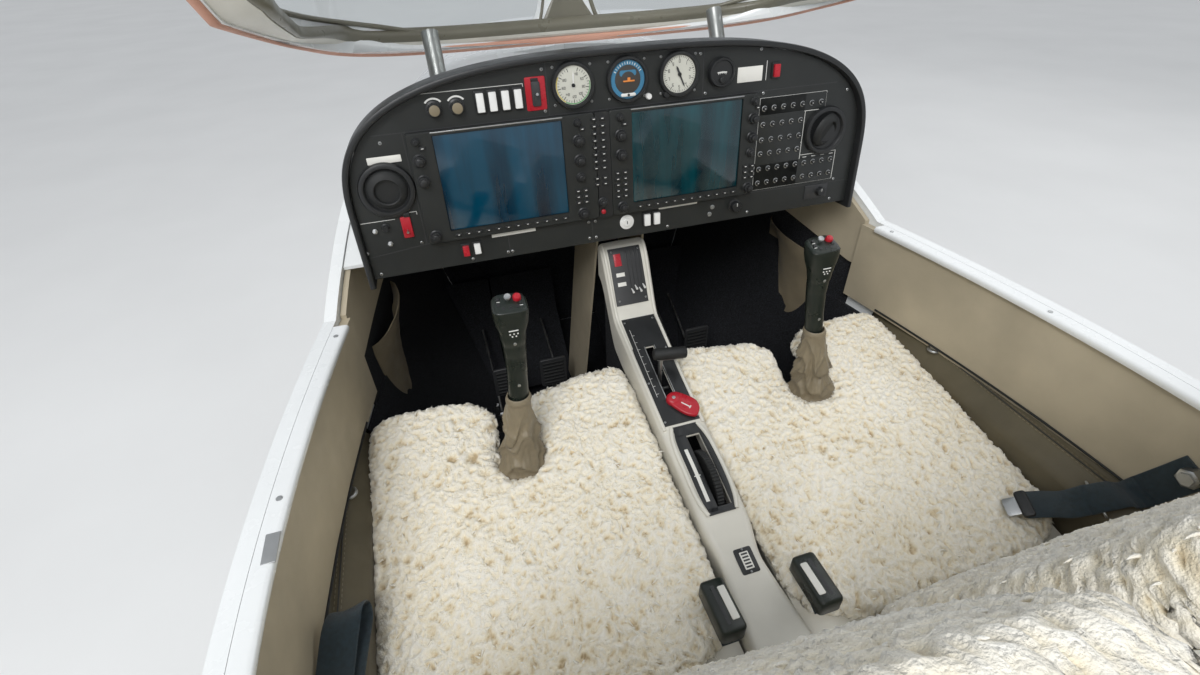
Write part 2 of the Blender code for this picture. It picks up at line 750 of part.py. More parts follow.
# Centre profile of the console: y, height of its top, half width
CONSOLE = (
    (0.055, -0.190, 0.050),
    (0.029, -0.200, 0.050),
    (-0.040, -0.318, 0.048),
    (-0.188, -0.363, 0.045),
    (-0.300, -0.394, 0.044),
    (-0.385, -0.412, 0.044),
    (-0.480, -0.440, 0.042),
    (-0.530, -0.462, 0.034),
    (-0.600, -0.474, 0.044),
    (-0.690, -0.471, 0.050),
)
LEVER_Y = -0.180
LEVER_DROP = 0.045
LEVER_UP = 0.085
LEVER_HALF = 0.003
PIN_R = 0.003
PIN_BORE = 0.0035
SLOT_HALF = 0.0085
SLOT_RUN = 0.060
WHEEL_Y = -0.385
WHEEL_R = 0.060
WHEEL_DROP = 0.044
WHEEL_X = 0.008
WHEEL_HALF = 0.007
WELL_HALF = 0.0125


def console_top(y):
    for (y1, z1, _), (y0, z0, _) in zip(CONSOLE, CONSOLE[1:]):
        if y0 <= y <= y1:
            return z0 + (z1 - z0) * (y - y0) / (y1 - y0)
    return CONSOLE[0][1]


def riser(y_aft, y_front, low, half):
    """A block that carries the console, its top following the console's underside."""
    drop = CONSOLE_DEEP + GAP
    ys = [y for y, _, _ in CONSOLE if y_aft < y < y_front]
    ys = [y_front] + ys + [y_aft]
    outline = [(y, console_top(y) - drop) for y in ys] + [(y_aft, low), (y_front, low)]
    return prism(outline, "X", -half, half)


def lever_pivot():
    return (0.0, LEVER_Y, console_top(LEVER_Y) - LEVER_DROP)


def wheel_pivot():
    return (WHEEL_X, WHEEL_Y, console_top(WHEEL_Y) - WHEEL_DROP)


def make_console():
    rings = []
    for y, z, half in CONSOLE:
        low = z - CONSOLE_DEEP
        rings.append([
            (half, y, low), (half, y, z - 0.012), (half - 0.012, y, z),
            (-half + 0.012, y, z), (-half, y, z - 0.012), (-half, y, low),
        ])
    body = solid(rings)
    _, _, lever_z = lever_pivot()
    _, _, wheel_z = wheel_pivot()
    run = WHEEL_R + CLEAR
    well_x = (WHEEL_X - WELL_HALF, WHEEL_X + WELL_HALF)
    well = block(well_x, (WHEEL_Y - run, WHEEL_Y + run), (wheel_z - BEYOND, wheel_z + BEYOND))
    reach = (LEVER_Y - SLOT_RUN, LEVER_Y + SLOT_RUN)
    slot = block((-SLOT_HALF, SLOT_HALF), reach, (lever_z - 0.016, lever_z + 2 * BEYOND))
    bore = disc(PIN_BORE, "X", -0.024, 0.024, (LEVER_Y, lever_z), 16)
    axle = disc(PIN_BORE, "X", WHEEL_X - 0.024, WHEEL_X + 0.024, (WHEEL_Y, wheel_z), 16)
    add("console", cut(body, well, slot, bore, axle), "cream")


def make_lever():
    x, y, z = lever_pivot()
    arm = block((-LEVER_HALF, LEVER_HALF), (y - 0.006, y + 0.006), (z - 0.004, z + LEVER_UP))
    hub = disc(0.008, "X", -LEVER_HALF, LEVER_HALF, (y, z), 16)
    pin = disc(PIN_R, "X", -0.022, 0.022, (y, z), 16)
    low = z + LEVER_UP - 0.006
    knob = prism(rounded(0.026, 0.022, 0.008, (y, low + 0.011)), "X", -0.012, 0.052)
    add("power_lever", join(arm, hub, pin, knob), "black", (x, y, z))


def make_trim_wheel():
    x, y, z = wheel_pivot()
    rim = disc(WHEEL_R, "X", x - WHEEL_HALF, x + WHEEL_HALF, (y, z), 48)
    pin = disc(PIN_R, "X", x - 0.022, x + 0.022, (y, z), 16)
    add("trim_wheel", join(rim, pin), "black", (x, y, z))


# Sticks and the tube that joins them

TUBE_END = 0.262
YOKE_HALF = 0.036
YOKE_PLATE = 0.008
YOKE_TALL = 0.016
YOKE_OUT = 0.326
BOSS_R = 0.012
BOSS_HALF = 0.025
STICK_PIN_R = 0.005
STICK_PATH = (
    (0.306, -0.300, -0.560), (0.296, -0.278, -0.416), (0.281, -0.245, -0.290), (0.275, -0.234, -0.210),
)
GRIP_PATH = STICK_PATH[2:] + ((0.274, -0.231, -0.165), (0.272, -0.226, -0.111))
GRIP_RADII = [0.017, 0.021, 0.022, 0.028]


def yoke():
    """The fork at the tube's right end that a stick's boss sits in."""
    web_in, web_out = TUBE_END - 0.004, TUBE_END + 0.006
    near, far = YOKE_HALF - YOKE_PLATE, YOKE_HALF
    half = [(web_in, far), (YOKE_OUT, far), (YOKE_OUT, near), (web_out, near)]
    outline = [(x, STICK_Y + y) for x, y in half] + [(x, STICK_Y - y) for x, y in reversed(half)]
    fork = prism(outline, "Z", STICK_Z - YOKE_TALL, STICK_Z + YOKE_TALL)
    bore = disc(STICK_PIN_R + 0.0005, "Y", STICK_Y - BEYOND, STICK_Y + BEYOND, (STICK_X, STICK_Z))
    return cut(fork, bore)


def make_torque_tube():
    bar = disc(TUBE_R, "X", -TUBE_END, TUBE_END, (STICK_Y, STICK_Z))
    bar = join(bar, yoke(), mirrored(yoke()))
    add("stick_torque_tube", bar, "metal", (0.0, STICK_Y, STICK_Z))


def stick():
    shaft = pipe(STICK_PATH, [0.011, 0.011, 0.012, 0.013], 14)
    boss = disc(BOSS_R, "Y", STICK_Y - BOSS_HALF, STICK_Y + BOSS_HALF, (STICK_X, STICK_Z), 16)
    pin = disc(STICK_PIN_R, "Y", STICK_Y - YOKE_HALF, STICK_Y + YOKE_HALF, (STICK_X, STICK_Z), 16)
    return join(shaft, boss, pin, pipe(GRIP_PATH, GRIP_RADII, 16))


BOOT_NECK_R = 0.0209


def boot():
    """The soft gaiter round a stick, open top and bottom, wide at its foot."""
    y = STICK_PATH[1][1]
    foot = Vector(((NOTCH_IN + NOTCH_OUT) / 2, y, seat_z(y) - SHELL_THICK / 2))
    foot_r = (NOTCH_OUT - NOTCH_IN) / 2 - GAP
    neck = Vector(STICK_PATH[2])
    rows, back = [], []
    for k in range(7):
        r = k / 6
        centre = foot.lerp(neck, r)
        wide = BOOT_NECK_R + (foot_r - BOOT_NECK_R) * (1 - r) ** 0.7
        row, rear = [], []
        for i in range(14):
            t = 2 * pi * i / 14
            out = Vector((cos(t), sin(t), 0.0))
            row.append(centre + out * wide)
            rear.append(centre + out * (wide - 0.003))
        rows.append(row)
        back.append(rear)
    bm = bmesh.new()
    loops = [[bm.verts.new(p) for p in ring] for ring in rows + back[::-1]]
    for a, b in zip(loops, loops[1:] + loops[:1]):
        for i in range(14):
            j = (i + 1) % 14
            bm.faces.new((a[i], a[j], b[j], b[i]))
    bmesh.ops.recalc_face_normals(bm, faces=bm.faces)
    return bm


# Rudder pedals

PEDAL_Y = 0.200
PEDAL_Z = -0.740
PEDAL_X = (0.145 * SPREAD, 0.268 * SPREAD)
PEDAL_TALL = 0.165
PEDAL_HALF = 0.036
ROD_R = 0.010
ROD_ENDS = (0.090 * SPREAD, 0.318 * SPREAD)
POST_HALF = 0.007


def pedal(x):
    y, z = PEDAL_Y, PEDAL_Z
    hub = disc(ROD_R + 0.007, "X", x - 0.022, x + 0.022, (y, z), 16)
    arm = block((x - 0.008, x + 0.008), (y - 0.007, y + 0.007), (z + 0.008, z + PEDAL_TALL - 0.03))
    pad = block((x - PEDAL_HALF, x + PEDAL_HALF), (y - 0.016, y - 0.004), (z + 0.075, z + PEDAL_TALL))
    bore = disc(ROD_R + 0.0005, "X", x - BEYOND, x + BEYOND, (y, z), 16)
    return cut(join(hub, arm, pad), bore)


def make_pedals():
    low = FLOOR_Z + GAP
    for side, sign in (("left", -1), ("right", 1)):
        near, far = ROD_ENDS
        rod = disc(ROD_R, "X", *sorted((sign * near, sign * far)), (PEDAL_Y, PEDAL_Z), 16)
        for x in (near + 0.008, sum(PEDAL_X) / 2, far - 0.008):
            ends = sorted((sign * (x - POST_HALF), sign * (x + POST_HALF)))
            post = block(ends, (PEDAL_Y - 0.02, PEDAL_Y + 0.02), (low, PEDAL_Z + 0.014))
            rod = join(rod, post)
        add(side + "_pedal_mount", rod, "metal")
        for place, x in zip(("inner", "outer"), PEDAL_X):
            add(side + "_" + place + "_pedal", pedal(sign * x), "black", (sign * x, PEDAL_Y, PEDAL_Z))


# Seats

# Heights of the pan at two stations
SEAT_FRONT_Y, SEAT_FRONT_Z = -0.140, -0.420
SEAT_AFT_Z = -0.505
BACK_FOOT = 0.060
BACK_THICK = 0.060
RIB_HALF = 0.006


def seat_z(y):
    """Height of the seat pan's upper face."""
    share = (y - SEAT_AFT) / (SEAT_FRONT_Y - SEAT_AFT)
    return SEAT_AFT_Z + (SEAT_FRONT_Z - SEAT_AFT_Z) * share


def seat_outline(shrink):
    """Plan of the right seat with the notch for its stick, inner front corner first."""
    front = SEAT_FRONT - shrink
    near, far = NOTCH_IN - shrink, NOTCH_OUT + shrink
    return [
        (SEAT_IN + shrink, front), (near, front), (near, NOTCH_AFT - shrink), (far, NOTCH_AFT - shrink),
        (far, front), (SEAT_OUT - shrink, front),
        (SEAT_OUT - shrink, SEAT_AFT), (SEAT_IN + shrink, SEAT_AFT),
    ]


def seat_slab(shrink, low, high):
    """A slab that follows the seat's slope between two heights above the pan."""
    outline = seat_outline(shrink)
    return solid([[(x, y, seat_z(y) + lift) for x, y in outline] for lift in (low, high)])


def back_slab(x_in, x_out, near, far, top_z):
    """A slab that leans back, between two distances ahead of the back's rear face."""
    z0 = SEAT_AFT_Z - SHELL_THICK
    rear0 = SEAT_AFT - BACK_FOOT
    rise = top_z - z0
    outline = [
        (rear0 + near, z0), (rear0 + far, z0),
        (rear0 + far - rise * BACK_LEAN, top_z), (rear0 + near - rise * BACK_LEAN, top_z),
    ]
    return prism(outline, "X", x_in, x_out)


def seat_shell():
    pan = seat_slab(0.0, -SHELL_THICK, 0.0)
    back = back_slab(SEAT_IN, SEAT_OUT, 0.0, SHELL_THICK, BACK_TOP - 0.02)
    foot = (SEAT_AFT - BACK_FOOT, SEAT_AFT + 0.01)
    link = block((SEAT_IN, SEAT_OUT), foot, (SEAT_AFT_Z - SHELL_THICK, SEAT_AFT_Z))
    ribs = []
    low = SPAR_TOP + GAP
    ends = (SPAR_AFT + 0.01, SPAR_FRONT)
    for x in (SEAT_IN + 0.020, SEAT_OUT - 0.035):
        outline = [(ends[0], low), (ends[1], low)]
        outline += [(y, seat_z(y) - SHELL_THICK / 2) for y in reversed(ends)]
        ribs.append(prism(outline, "X", x - RIB_HALF, x + RIB_HALF))
    return join(pan, back, link, *ribs)


def seat_fleece():
    return seat_slab(0.001, GAP, FLEECE_THICK)


def back_fleece():
    low = block((-1, 1), (-2, 2), (-2, SEAT_AFT_Z + FLEECE_THICK + 0.010))
    slab = back_slab(SEAT_IN, SEAT_OUT, SHELL_THICK + GAP, SHELL_THICK + BACK_THICK, BACK_TOP)
    return cut(slab, low)


# Canopy, modelled shut and then raised about its hinge

CANOPY_STATIONS = [CANOPY_AFT, CANOPY_AFT + CANOPY_ARCH, CANOPY_AFT + CANOPY_ARCH + GLASS_LAP]
CANOPY_STATIONS += [-0.80, -0.60, -0.40, -0.20] + BROW_STATIONS
WINDOW_ROWS = (2, 10)
ROW_SPLITS = 5


def upper_curve(y, inset, low_z, count=60):
    """Fine points from a height up the right side to the centre line, canopy shut."""
    rise = top(y) - inset - WIDE_Z
    share = min((low_z - WIDE_Z) / rise, 0.9999)
    power = upper_power(y)
    turn = asin(share ** (power / 2))
    points = []
    for i in range(count + 1):
        t = turn + (pi / 2 - turn) * i / count
        x = (half_width(y) - inset) * max(cos(t), 0.0) ** (2 / power)
        points.append(Vector((x, y, WIDE_Z + rise * sin(t) ** (2 / power))))
    return points


def spaced(points, distances):
    """Points at given shares of the way along a polyline, as lengths from its start."""
    out = []
    for want in distances:
        left = want
        for a, b in zip(points, points[1:]):
            step = (b - a).length
            if left <= step or b is points[-1]:
                out.append(a.lerp(b, min(left / step, 1.0)))
                break
            left -= step
    return out


def canopy_row(y, inset):
    """One station of the right half, rim first, at the frame's and the glass's edges."""
    line = upper_curve(y, inset, part_line(y) + CLEAR)
    length = sum((b - a).length for a, b in zip(line, line[1:]))
    low = min(CANOPY_BAND, length * 0.36)
    high = length - min(CANOPY_POST, length * 0.16)
    lap = min(GLASS_LAP, length * 0.05)
    middle = [low + (high - low) * k / ROW_SPLITS for k in range(ROW_SPLITS + 1)]
    return spaced(line, [0.0, low - lap] + middle + [high + lap, length])


def grid_solid(outer, inner, keep):
    """A closed sheet made of the kept cells of two matching grids."""
    bm = bmesh.new()
    made = {}

    def vert(layer, i, j):
        key = (layer, i, j)
        if key not in made:
            made[key] = bm.verts.new((outer, inner)[layer][i][j])
        return made[key]

    middle = (len(outer[0]) - 1) / 2
    for i, j in keep:
        a, b, c, d = (i, j), (i, j + 1), (i + 1, j + 1), (i + 1, j)
        halves = ((a, b, c), (a, c, d)) if j < middle else ((a, b, d), (b, c, d))
        for layer in (0, 1):
            for half in halves:
                bm.faces.new([vert(layer, *k) for k in half])
    for i, j in keep:
        around = (
            ((i - 1, j), (i, j), (i, j + 1)),
            ((i, j + 1), (i, j + 1), (i + 1, j + 1)),
            ((i + 1, j), (i + 1, j + 1), (i + 1, j)),
            ((i, j - 1), (i + 1, j), (i, j)),
        )
        for cell, a, b in around:
            if cell not in keep:
                bm.faces.new((vert(0, *b), vert(0, *a), vert(1, *a), vert(1, *b)))
    bmesh.ops.recalc_face_normals(bm, faces=bm.faces)
    return bm


def raised():
    """Turns the shut canopy about its hinge to where it stands in the photograph."""
    hinge = Vector((0.0, HINGE_Y, HINGE_Z))
    turn = Matrix.Rotation(-CANOPY_OPEN, 4, "X")
    return Matrix.Translation(hinge) @ turn @ Matrix.Translation(-hinge)


def full_rows(inset):
    """Both halves of every station as one row, right rim to left rim."""
    rows = []
    for y in CANOPY_STATIONS:
        right = canopy_row(y, inset)
        rows.append(right + [Vector((-p.x, p.y, p.z)) for p in right[-2::-1]])
    return rows


FLANGE_NEAR = 0.045
FLANGE_FAR = 0.092
FLANGE_FROM = 0.050
FLANGE_THICK = 0.010
RAIL_TALL = 0.022
RAIL_WIDE = 0.012
# The flange passes beside the panel where it swings past it, further from the hinge than this
PANEL_REACH = HINGE_Y - LIP_AHEAD - 0.010
PANEL_PASS = PANEL_HALF + LIP_THICK + 0.008


def flange():
    """The inward flange round the canopy's foot with the rail on its inner edge."""
    lip = 0.004
    ys = [CANOPY_AFT + (SILL_FRONT - CANOPY_AFT) * i / 6 for i in range(6)]
    plan = [(skin(y, SILL_Z, lip), y) for y in ys] + rim_points(lip)
    points = [Vector((x, y, 0.0)) for x, y in plan]
    points += [Vector((-p.x, p.y, 0.0)) for p in points[-2::-1]]
    rings = []
    for i, p in enumerate(points):
        along = points[min(i + 1, len(points) - 1)] - points[max(i - 1, 0)]
        inward = Vector((-along.y, along.x, 0.0)).normalized()
        share = min(max((p.y - 0.03) / (FLANGE_FROM - 0.03 + 0.05), 0.0), 1.0)
        wide = FLANGE_NEAR + (FLANGE_FAR - FLANGE_NEAR) * share
        ring = []
        for depth, lift in (
            (0.0, 0.0), (wide, 0.0), (wide, RAIL_TALL),
            (wide - RAIL_WIDE, RAIL_TALL), (wide - RAIL_WIDE, FLANGE_THICK), (0.0, FLANGE_THICK),
        ):
            q = p + inward * depth
            reach = Vector((HINGE_Y - q.y, HINGE_Z - plane_z(q.y))).length
            if reach > PANEL_REACH:
                q.x = max(abs(q.x), PANEL_PASS) * (1 if q.x > 0 else -1)
            level = max(SILL_Z, plane_z(q.y)) if p.y < 0.0 else plane_z(q.y)
            ring.append((q.x, q.y, level + CLEAR + lift))
        rings.append(ring)
    return solid(rings)


def make_canopy():
    outer, inner = full_rows(0.0), full_rows(CANOPY_WALL)
    tall, wide = len(outer), len(outer[0])
    first, last = WINDOW_ROWS
    right_cols = list(range(2, 2 + ROW_SPLITS))
    holes = {(i, j) for i in range(first, last) for j in right_cols + [wide - 2 - j for j in right_cols]}
    cells = {(i, j) for i in range(tall - 1) for j in range(wide - 1)} - holes
    pivot = (0.0, HINGE_Y, HINGE_Z)
    frame = join(grid_solid(outer, inner, cells), flange())
    add("canopy_frame", moved(frame, raised()), "white", pivot)
    above, below = full_rows(-GAP - GLASS_THICK), full_rows(-GAP)
    rows = range(first - 1, last + 1)
    right = {(i, j) for i in rows for j in range(1, 3 + ROW_SPLITS)}
    left = {(i, wide - 2 - j) for i, j in right}
    for side, panes in (("right", right), ("left", left)):
        glass = moved(grid_solid(above, below, panes), raised())
        add(side + "_canopy_glass", glass, "glass", pivot)


# Gooseneck arms and their brackets in the nose

ARM_PATH = (
    (0.450, 0.010), (0.425, -0.020), (0.385, -0.050), (0.330, -0.066), (0.275, -0.058),
    (0.243, -0.020), (0.240, 0.030), (0.253, 0.080), (0.275, 0.125), (0.306, 0.180),
)
EYE_R = 0.020
EYE_HALF = 0.016
HINGE_PIN_R = 0.006
LUG_GAP = 0.006
LUG_THICK = 0.006
LUG_LOW, LUG_HIGH = HINGE_Z - 0.022, HINGE_Z + 0.016


def arm():
    bar = pipe([(ARM_X, y, z) for y, z in ARM_PATH], ARM_R * 0.8, 10)
    eye = disc(EYE_R, "X", ARM_X - EYE_HALF, ARM_X + EYE_HALF, (HINGE_Y, HINGE_Z), 16)
    bore = disc(HINGE_PIN_R + 0.0005, "X", ARM_X - BEYOND, ARM_X + BEYOND, (HINGE_Y, HINGE_Z), 16)
    lift = CLEAR - GAP
    above = [(y, plane_z(y) + up) for y, up in ((0.0, lift), (0.5, lift), (0.5, 1.0), (0.0, 1.0))]
    flange_room = moved(prism(above, "X", ARM_X - BEYOND, ARM_X + BEYOND), raised())
    return cut(join(bar, eye), bore, flange_room)


def hinge_bracket():
    near = EYE_HALF + LUG_GAP
    far = near + LUG_THICK
    rear = FIREWALL_Y - FIREWALL_THICK / 2
    base = block((ARM_X - far, ARM_X + far), (rear - 0.008, rear), (LUG_LOW - 0.023, LUG_HIGH + 0.006))
    for low, high in ((-far, -near), (near, far)):
        lug = block((ARM_X + low, ARM_X + high), (HINGE_Y - 0.016, rear - 0.004), (LUG_LOW, LUG_HIGH))
        base = join(base, lug)
    pin = disc(HINGE_PIN_R, "X", ARM_X - far + 0.001, ARM_X + far - 0.001, (HINGE_Y, HINGE_Z), 16)
    return join(base, pin)


# Belts, buckles and the fuel selector

BUCKLE_X = (0.063, 0.101)
BUCKLE_Y = (-0.645, -0.565)
BUCKLE_TALL = 0.034
BUTTON_DEEP = 0.002
BELT_HALF = 0.024
BELT_THICK = 0.004
# The belt's line from the seat, over the ledge and up the wall: x and z from the ledge's inner edge
BELT_PATH = (
    (-0.110, -0.600, -0.060), (-0.030, -0.628, -0.060), (-0.008, -0.637, -0.032), (-0.003, -0.640, -0.018),
    (0.020, -0.650, 0.003), (0.038, -0.657, 0.003), (0.049, -0.662, 0.012), (0.050, -0.676, 0.050),
    (0.050, -0.695, 0.100),
)
ANCHOR_R = 0.015
ANCHOR_GAP = 0.0015
SELECTOR_Y = -0.245
SELECTOR_R = 0.013
SELECTOR_HIGH = 0.012


def buckle():
    """A seat belt buckle beside the armrest, its press button let into the top."""
    low, high = BUCKLE_Y
    middle = (low + high) / 2
    base = seat_z(middle) + FLEECE_THICK + 0.006
    top_z = base + BUCKLE_TALL
    case = prism(rounded(high - low, BUCKLE_TALL, 0.008, (middle, base + BUCKLE_TALL / 2)), "X", *BUCKLE_X)
    sides = (BUCKLE_X[0] + 0.008, BUCKLE_X[1] - 0.008)
    hole = block(sides, (low + 0.014, high - 0.014), (top_z - BUTTON_DEEP, top_z + BEYOND))
    return cut(case, hole)


def belt():
    """A belt from the seat's rear corner over the ledge, bolted to the side wall."""
    path = [Vector((LEDGE_IN + x, y, LEDGE_Z + z)) for x, y, z in BELT_PATH]
    half = Vector((0.0, BELT_HALF, 0.0))
    lower, upper = [], []
    for i, p in enumerate(path):
        along = path[min(i + 1, len(path) - 1)] - path[max(i - 1, 0)]
        lift = Vector((-along.z, 0.0, along.x)).normalized() * BELT_THICK
        lower.append([p - half, p + half])
        upper.append([p - half + lift, p + half + lift])
    end = path[-1]
    wall = skin(end.y, end.z, WALL + PANEL_DEEP) - ANCHOR_GAP
    bolt = disc(ANCHOR_R, "X", end.x - 0.012, wall, (end.y, end.z - ANCHOR_R), 16)
    return join(shell(upper, lower), bolt)


def fuel_selector():
    """A pointer on its hub, square to the console's slope ahead of the trim wheel."""
    outline = [(-0.008, -0.006), (0.014, -0.040), (0.030, -0.030), (0.034, -0.012), (0.010, 0.010)]
    pointer = prism(outline, "Z", 0.004, 0.010)
    knob = join(disc(SELECTOR_R, "Z", GAP, SELECTOR_HIGH, (0.0, 0.0), 16), pointer)
    slope = (console_top(SELECTOR_Y + 0.01) - console_top(SELECTOR_Y - 0.01)) / 0.02
    place = Matrix.Translation((0.0, SELECTOR_Y, console_top(SELECTOR_Y)))
    return moved(knob, place @ Matrix.Rotation(atan(slope), 4, "X"))


make_fuselage()
make_floor()
make_sides()
make_panel()
make_instruments()
add("deck_shelf", make_deck(), "white")
make_console()
make_lever()
make_trim_wheel()
make_torque_tube()
both_sides("stick", stick, "black", (STICK_X, STICK_Y, STICK_Z))
both_sides("stick_boot", boot, "tan")
make_pedals()
both_sides("seat_shell", seat_shell, "cream")
both_sides("seat_fleece", seat_fleece, "fleece")
both_sides("back_fleece", back_fleece, "fleece")
make_canopy()
both_sides("canopy_arm", arm, "metal", (0.0, HINGE_Y, HINGE_Z))
both_sides("belt", belt, "webbing")
both_sides("buckle", buckle, "black")
add("fuel_selector", fuel_selector(), "red")
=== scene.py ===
"""Looks of the light aircraft cockpit section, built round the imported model."""

from math import asin, atan2, cos, pi, radians, sin, sqrt

import bmesh
import bpy
import numpy as np
from mathutils import Matrix, Vector, noise


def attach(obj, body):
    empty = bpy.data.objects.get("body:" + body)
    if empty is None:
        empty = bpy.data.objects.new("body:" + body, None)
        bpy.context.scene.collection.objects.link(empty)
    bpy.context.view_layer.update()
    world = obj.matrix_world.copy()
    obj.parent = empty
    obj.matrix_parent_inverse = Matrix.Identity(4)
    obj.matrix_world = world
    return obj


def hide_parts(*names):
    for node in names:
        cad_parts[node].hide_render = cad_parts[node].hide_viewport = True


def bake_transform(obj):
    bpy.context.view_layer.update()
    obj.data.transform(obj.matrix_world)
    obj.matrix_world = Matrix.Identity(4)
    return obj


noise.seed_set(7)  # otherwise noise_vector takes new offsets from the clock at each run

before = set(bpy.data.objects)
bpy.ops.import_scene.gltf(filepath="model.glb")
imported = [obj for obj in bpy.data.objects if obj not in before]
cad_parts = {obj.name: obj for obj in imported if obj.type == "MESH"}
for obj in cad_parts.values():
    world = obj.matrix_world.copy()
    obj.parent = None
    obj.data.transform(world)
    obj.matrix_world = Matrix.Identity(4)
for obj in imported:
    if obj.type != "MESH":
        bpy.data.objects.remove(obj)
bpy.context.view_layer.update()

# Places are measured from the instrument panel, as in the part's source: y ahead of its face, z above
# the centre of its displays. DATUM puts a finished piece at its place in the model.
DATUM = Vector((0.0, 0.45, 0.85))
LEAN = radians(5)
SIDES = ("left", -1), ("right", 1)
PANEL = Matrix.Rotation(-LEAN, 4, "X") @ Matrix(((1, 0, 0, 0), (0, 0, -1, 0), (0, 1, 0, 0), (0, 0, 0, 1)))


# Camera of the photograph

VIEW_FROM = (-0.336, -0.497, 1.208)
VIEW_YAW, VIEW_PITCH, VIEW_ROLL = radians(-15.83), radians(-37.2), radians(-2.05)
SENSOR = 36.0
VIEW_LENS = 564.2 / 1200 * SENSOR  # a focal length of 564.2 of the photograph's 1200 pixels


def make_camera():
    data = bpy.data.cameras.new("camera")
    data.sensor_width = SENSOR
    data.lens = VIEW_LENS
    data.clip_start = 0.01
    camera = bpy.data.objects.new("camera", data)
    bpy.context.scene.collection.objects.link(camera)
    ahead = Vector((-sin(VIEW_YAW) * cos(VIEW_PITCH), cos(VIEW_YAW) * cos(VIEW_PITCH), sin(VIEW_PITCH)))
    level = Vector((cos(VIEW_YAW), sin(VIEW_YAW), 0))
    above = level.cross(ahead)
    right = cos(VIEW_ROLL) * level + sin(VIEW_ROLL) * above
    up = cos(VIEW_ROLL) * above - sin(VIEW_ROLL) * level
    turn = Matrix((right, up, -ahead)).transposed()
    camera.matrix_world = Matrix.Translation(VIEW_FROM) @ turn.to_4x4()
    bpy.context.scene.camera = camera


# Materials


class Paint:
    """A Principled material with its colour, roughness and bump from procedural nodes."""

    def __init__(self, name, colour, rough, metal=0.0, **fixed):
        self.material = bpy.data.materials.new(name)
        self.material.use_nodes = True
        self.tree = self.material.node_tree
        self.surface = self.tree.nodes["Principled BSDF"]
        self.where = self.node("ShaderNodeTexCoord").outputs["Object"]
        self.surface.inputs["Base Color"].default_value = (*colour, 1)
        self.surface.inputs["Roughness"].default_value = rough
        self.surface.inputs["Metallic"].default_value = metal
        for key, value in fixed.items():
            self.surface.inputs[key.replace("_", " ")].default_value = value
        self.colour, self.rough = colour, rough
        self.height = None

    def node(self, kind, **settings):
        made = self.tree.nodes.new(kind)
        for key, value in settings.items():
            if hasattr(made, key):
                setattr(made, key, value)
            else:
                made.inputs[key.replace("_", " ").title()].default_value = value
        return made

    def link(self, a, b):
        self.tree.links.new(a, b)

    def noise(self, scale, detail=3.0, stretch=None):
        made = self.node("ShaderNodeTexNoise", scale=scale, detail=detail)
        where = self.where
        if stretch:
            place = self.node("ShaderNodeMapping")
            place.inputs["Scale"].default_value = stretch
            self.link(where, place.inputs["Vector"])
            where = place.outputs["Vector"]
        self.link(where, made.inputs["Vector"])
        return made.outputs["Fac"]

    def ramp(self, value, stops):
        made = self.node("ShaderNodeValToRGB")
        band = made.color_ramp
        while len(band.elements) < len(stops):
            band.elements.new(0.5)
        for element, (place, colour) in zip(band.elements, stops):
            element.position = place
            element.color = (*colour, 1)
        self.link(value, made.inputs["Fac"])
        return made.outputs["Color"]

    def vary(self, scale, low, high, detail=4.0, stretch=None, span=(0.3, 0.7)):
        """Base colour between the plain one times `low` and times `high`, in clouds."""
        shades = [tuple(min(c * k, 1.0) for c in self.colour) for k in (low, high)]
        made = self.ramp(self.noise(scale, detail, stretch), list(zip(span, shades)))
        self.link(made, self.surface.inputs["Base Color"])
        return self

    def sheen_of(self, scale, low, high, stretch=None):
        """Roughness between two values, in clouds."""
        made = self.node("ShaderNodeMapRange")
        for key, value in (("From Min", 0.3), ("From Max", 0.7), ("To Min", low), ("To Max", high)):
            made.inputs[key].default_value = value
        self.link(self.noise(scale, 4.0, stretch), made.inputs["Value"])
        self.link(made.outputs["Result"], self.surface.inputs["Roughness"])
        return self

    def bump(self, value, depth, strength=1.0):
        """Adds a height to the surface; each call lies over the one before."""
        made = self.node("ShaderNodeBump", distance=depth, strength=strength)
        self.link(value, made.inputs["Height"])
        if self.height:
            self.link(self.height, made.inputs["Normal"])
        self.height = made.outputs["Normal"]
        self.link(self.height, self.surface.inputs["Normal"])
        return self

    def cells(self, scale, feature="F1"):
        made = self.node("ShaderNodeTexVoronoi", feature=feature, scale=scale)
        self.link(self.where, made.inputs["Vector"])
        return made.outputs["Distance"]

    def bands(self, scale, axis):
        made = self.node("ShaderNodeTexWave", bands_direction=axis, scale=scale)
        self.link(self.where, made.inputs["Vector"])
        return made.outputs["Fac"]


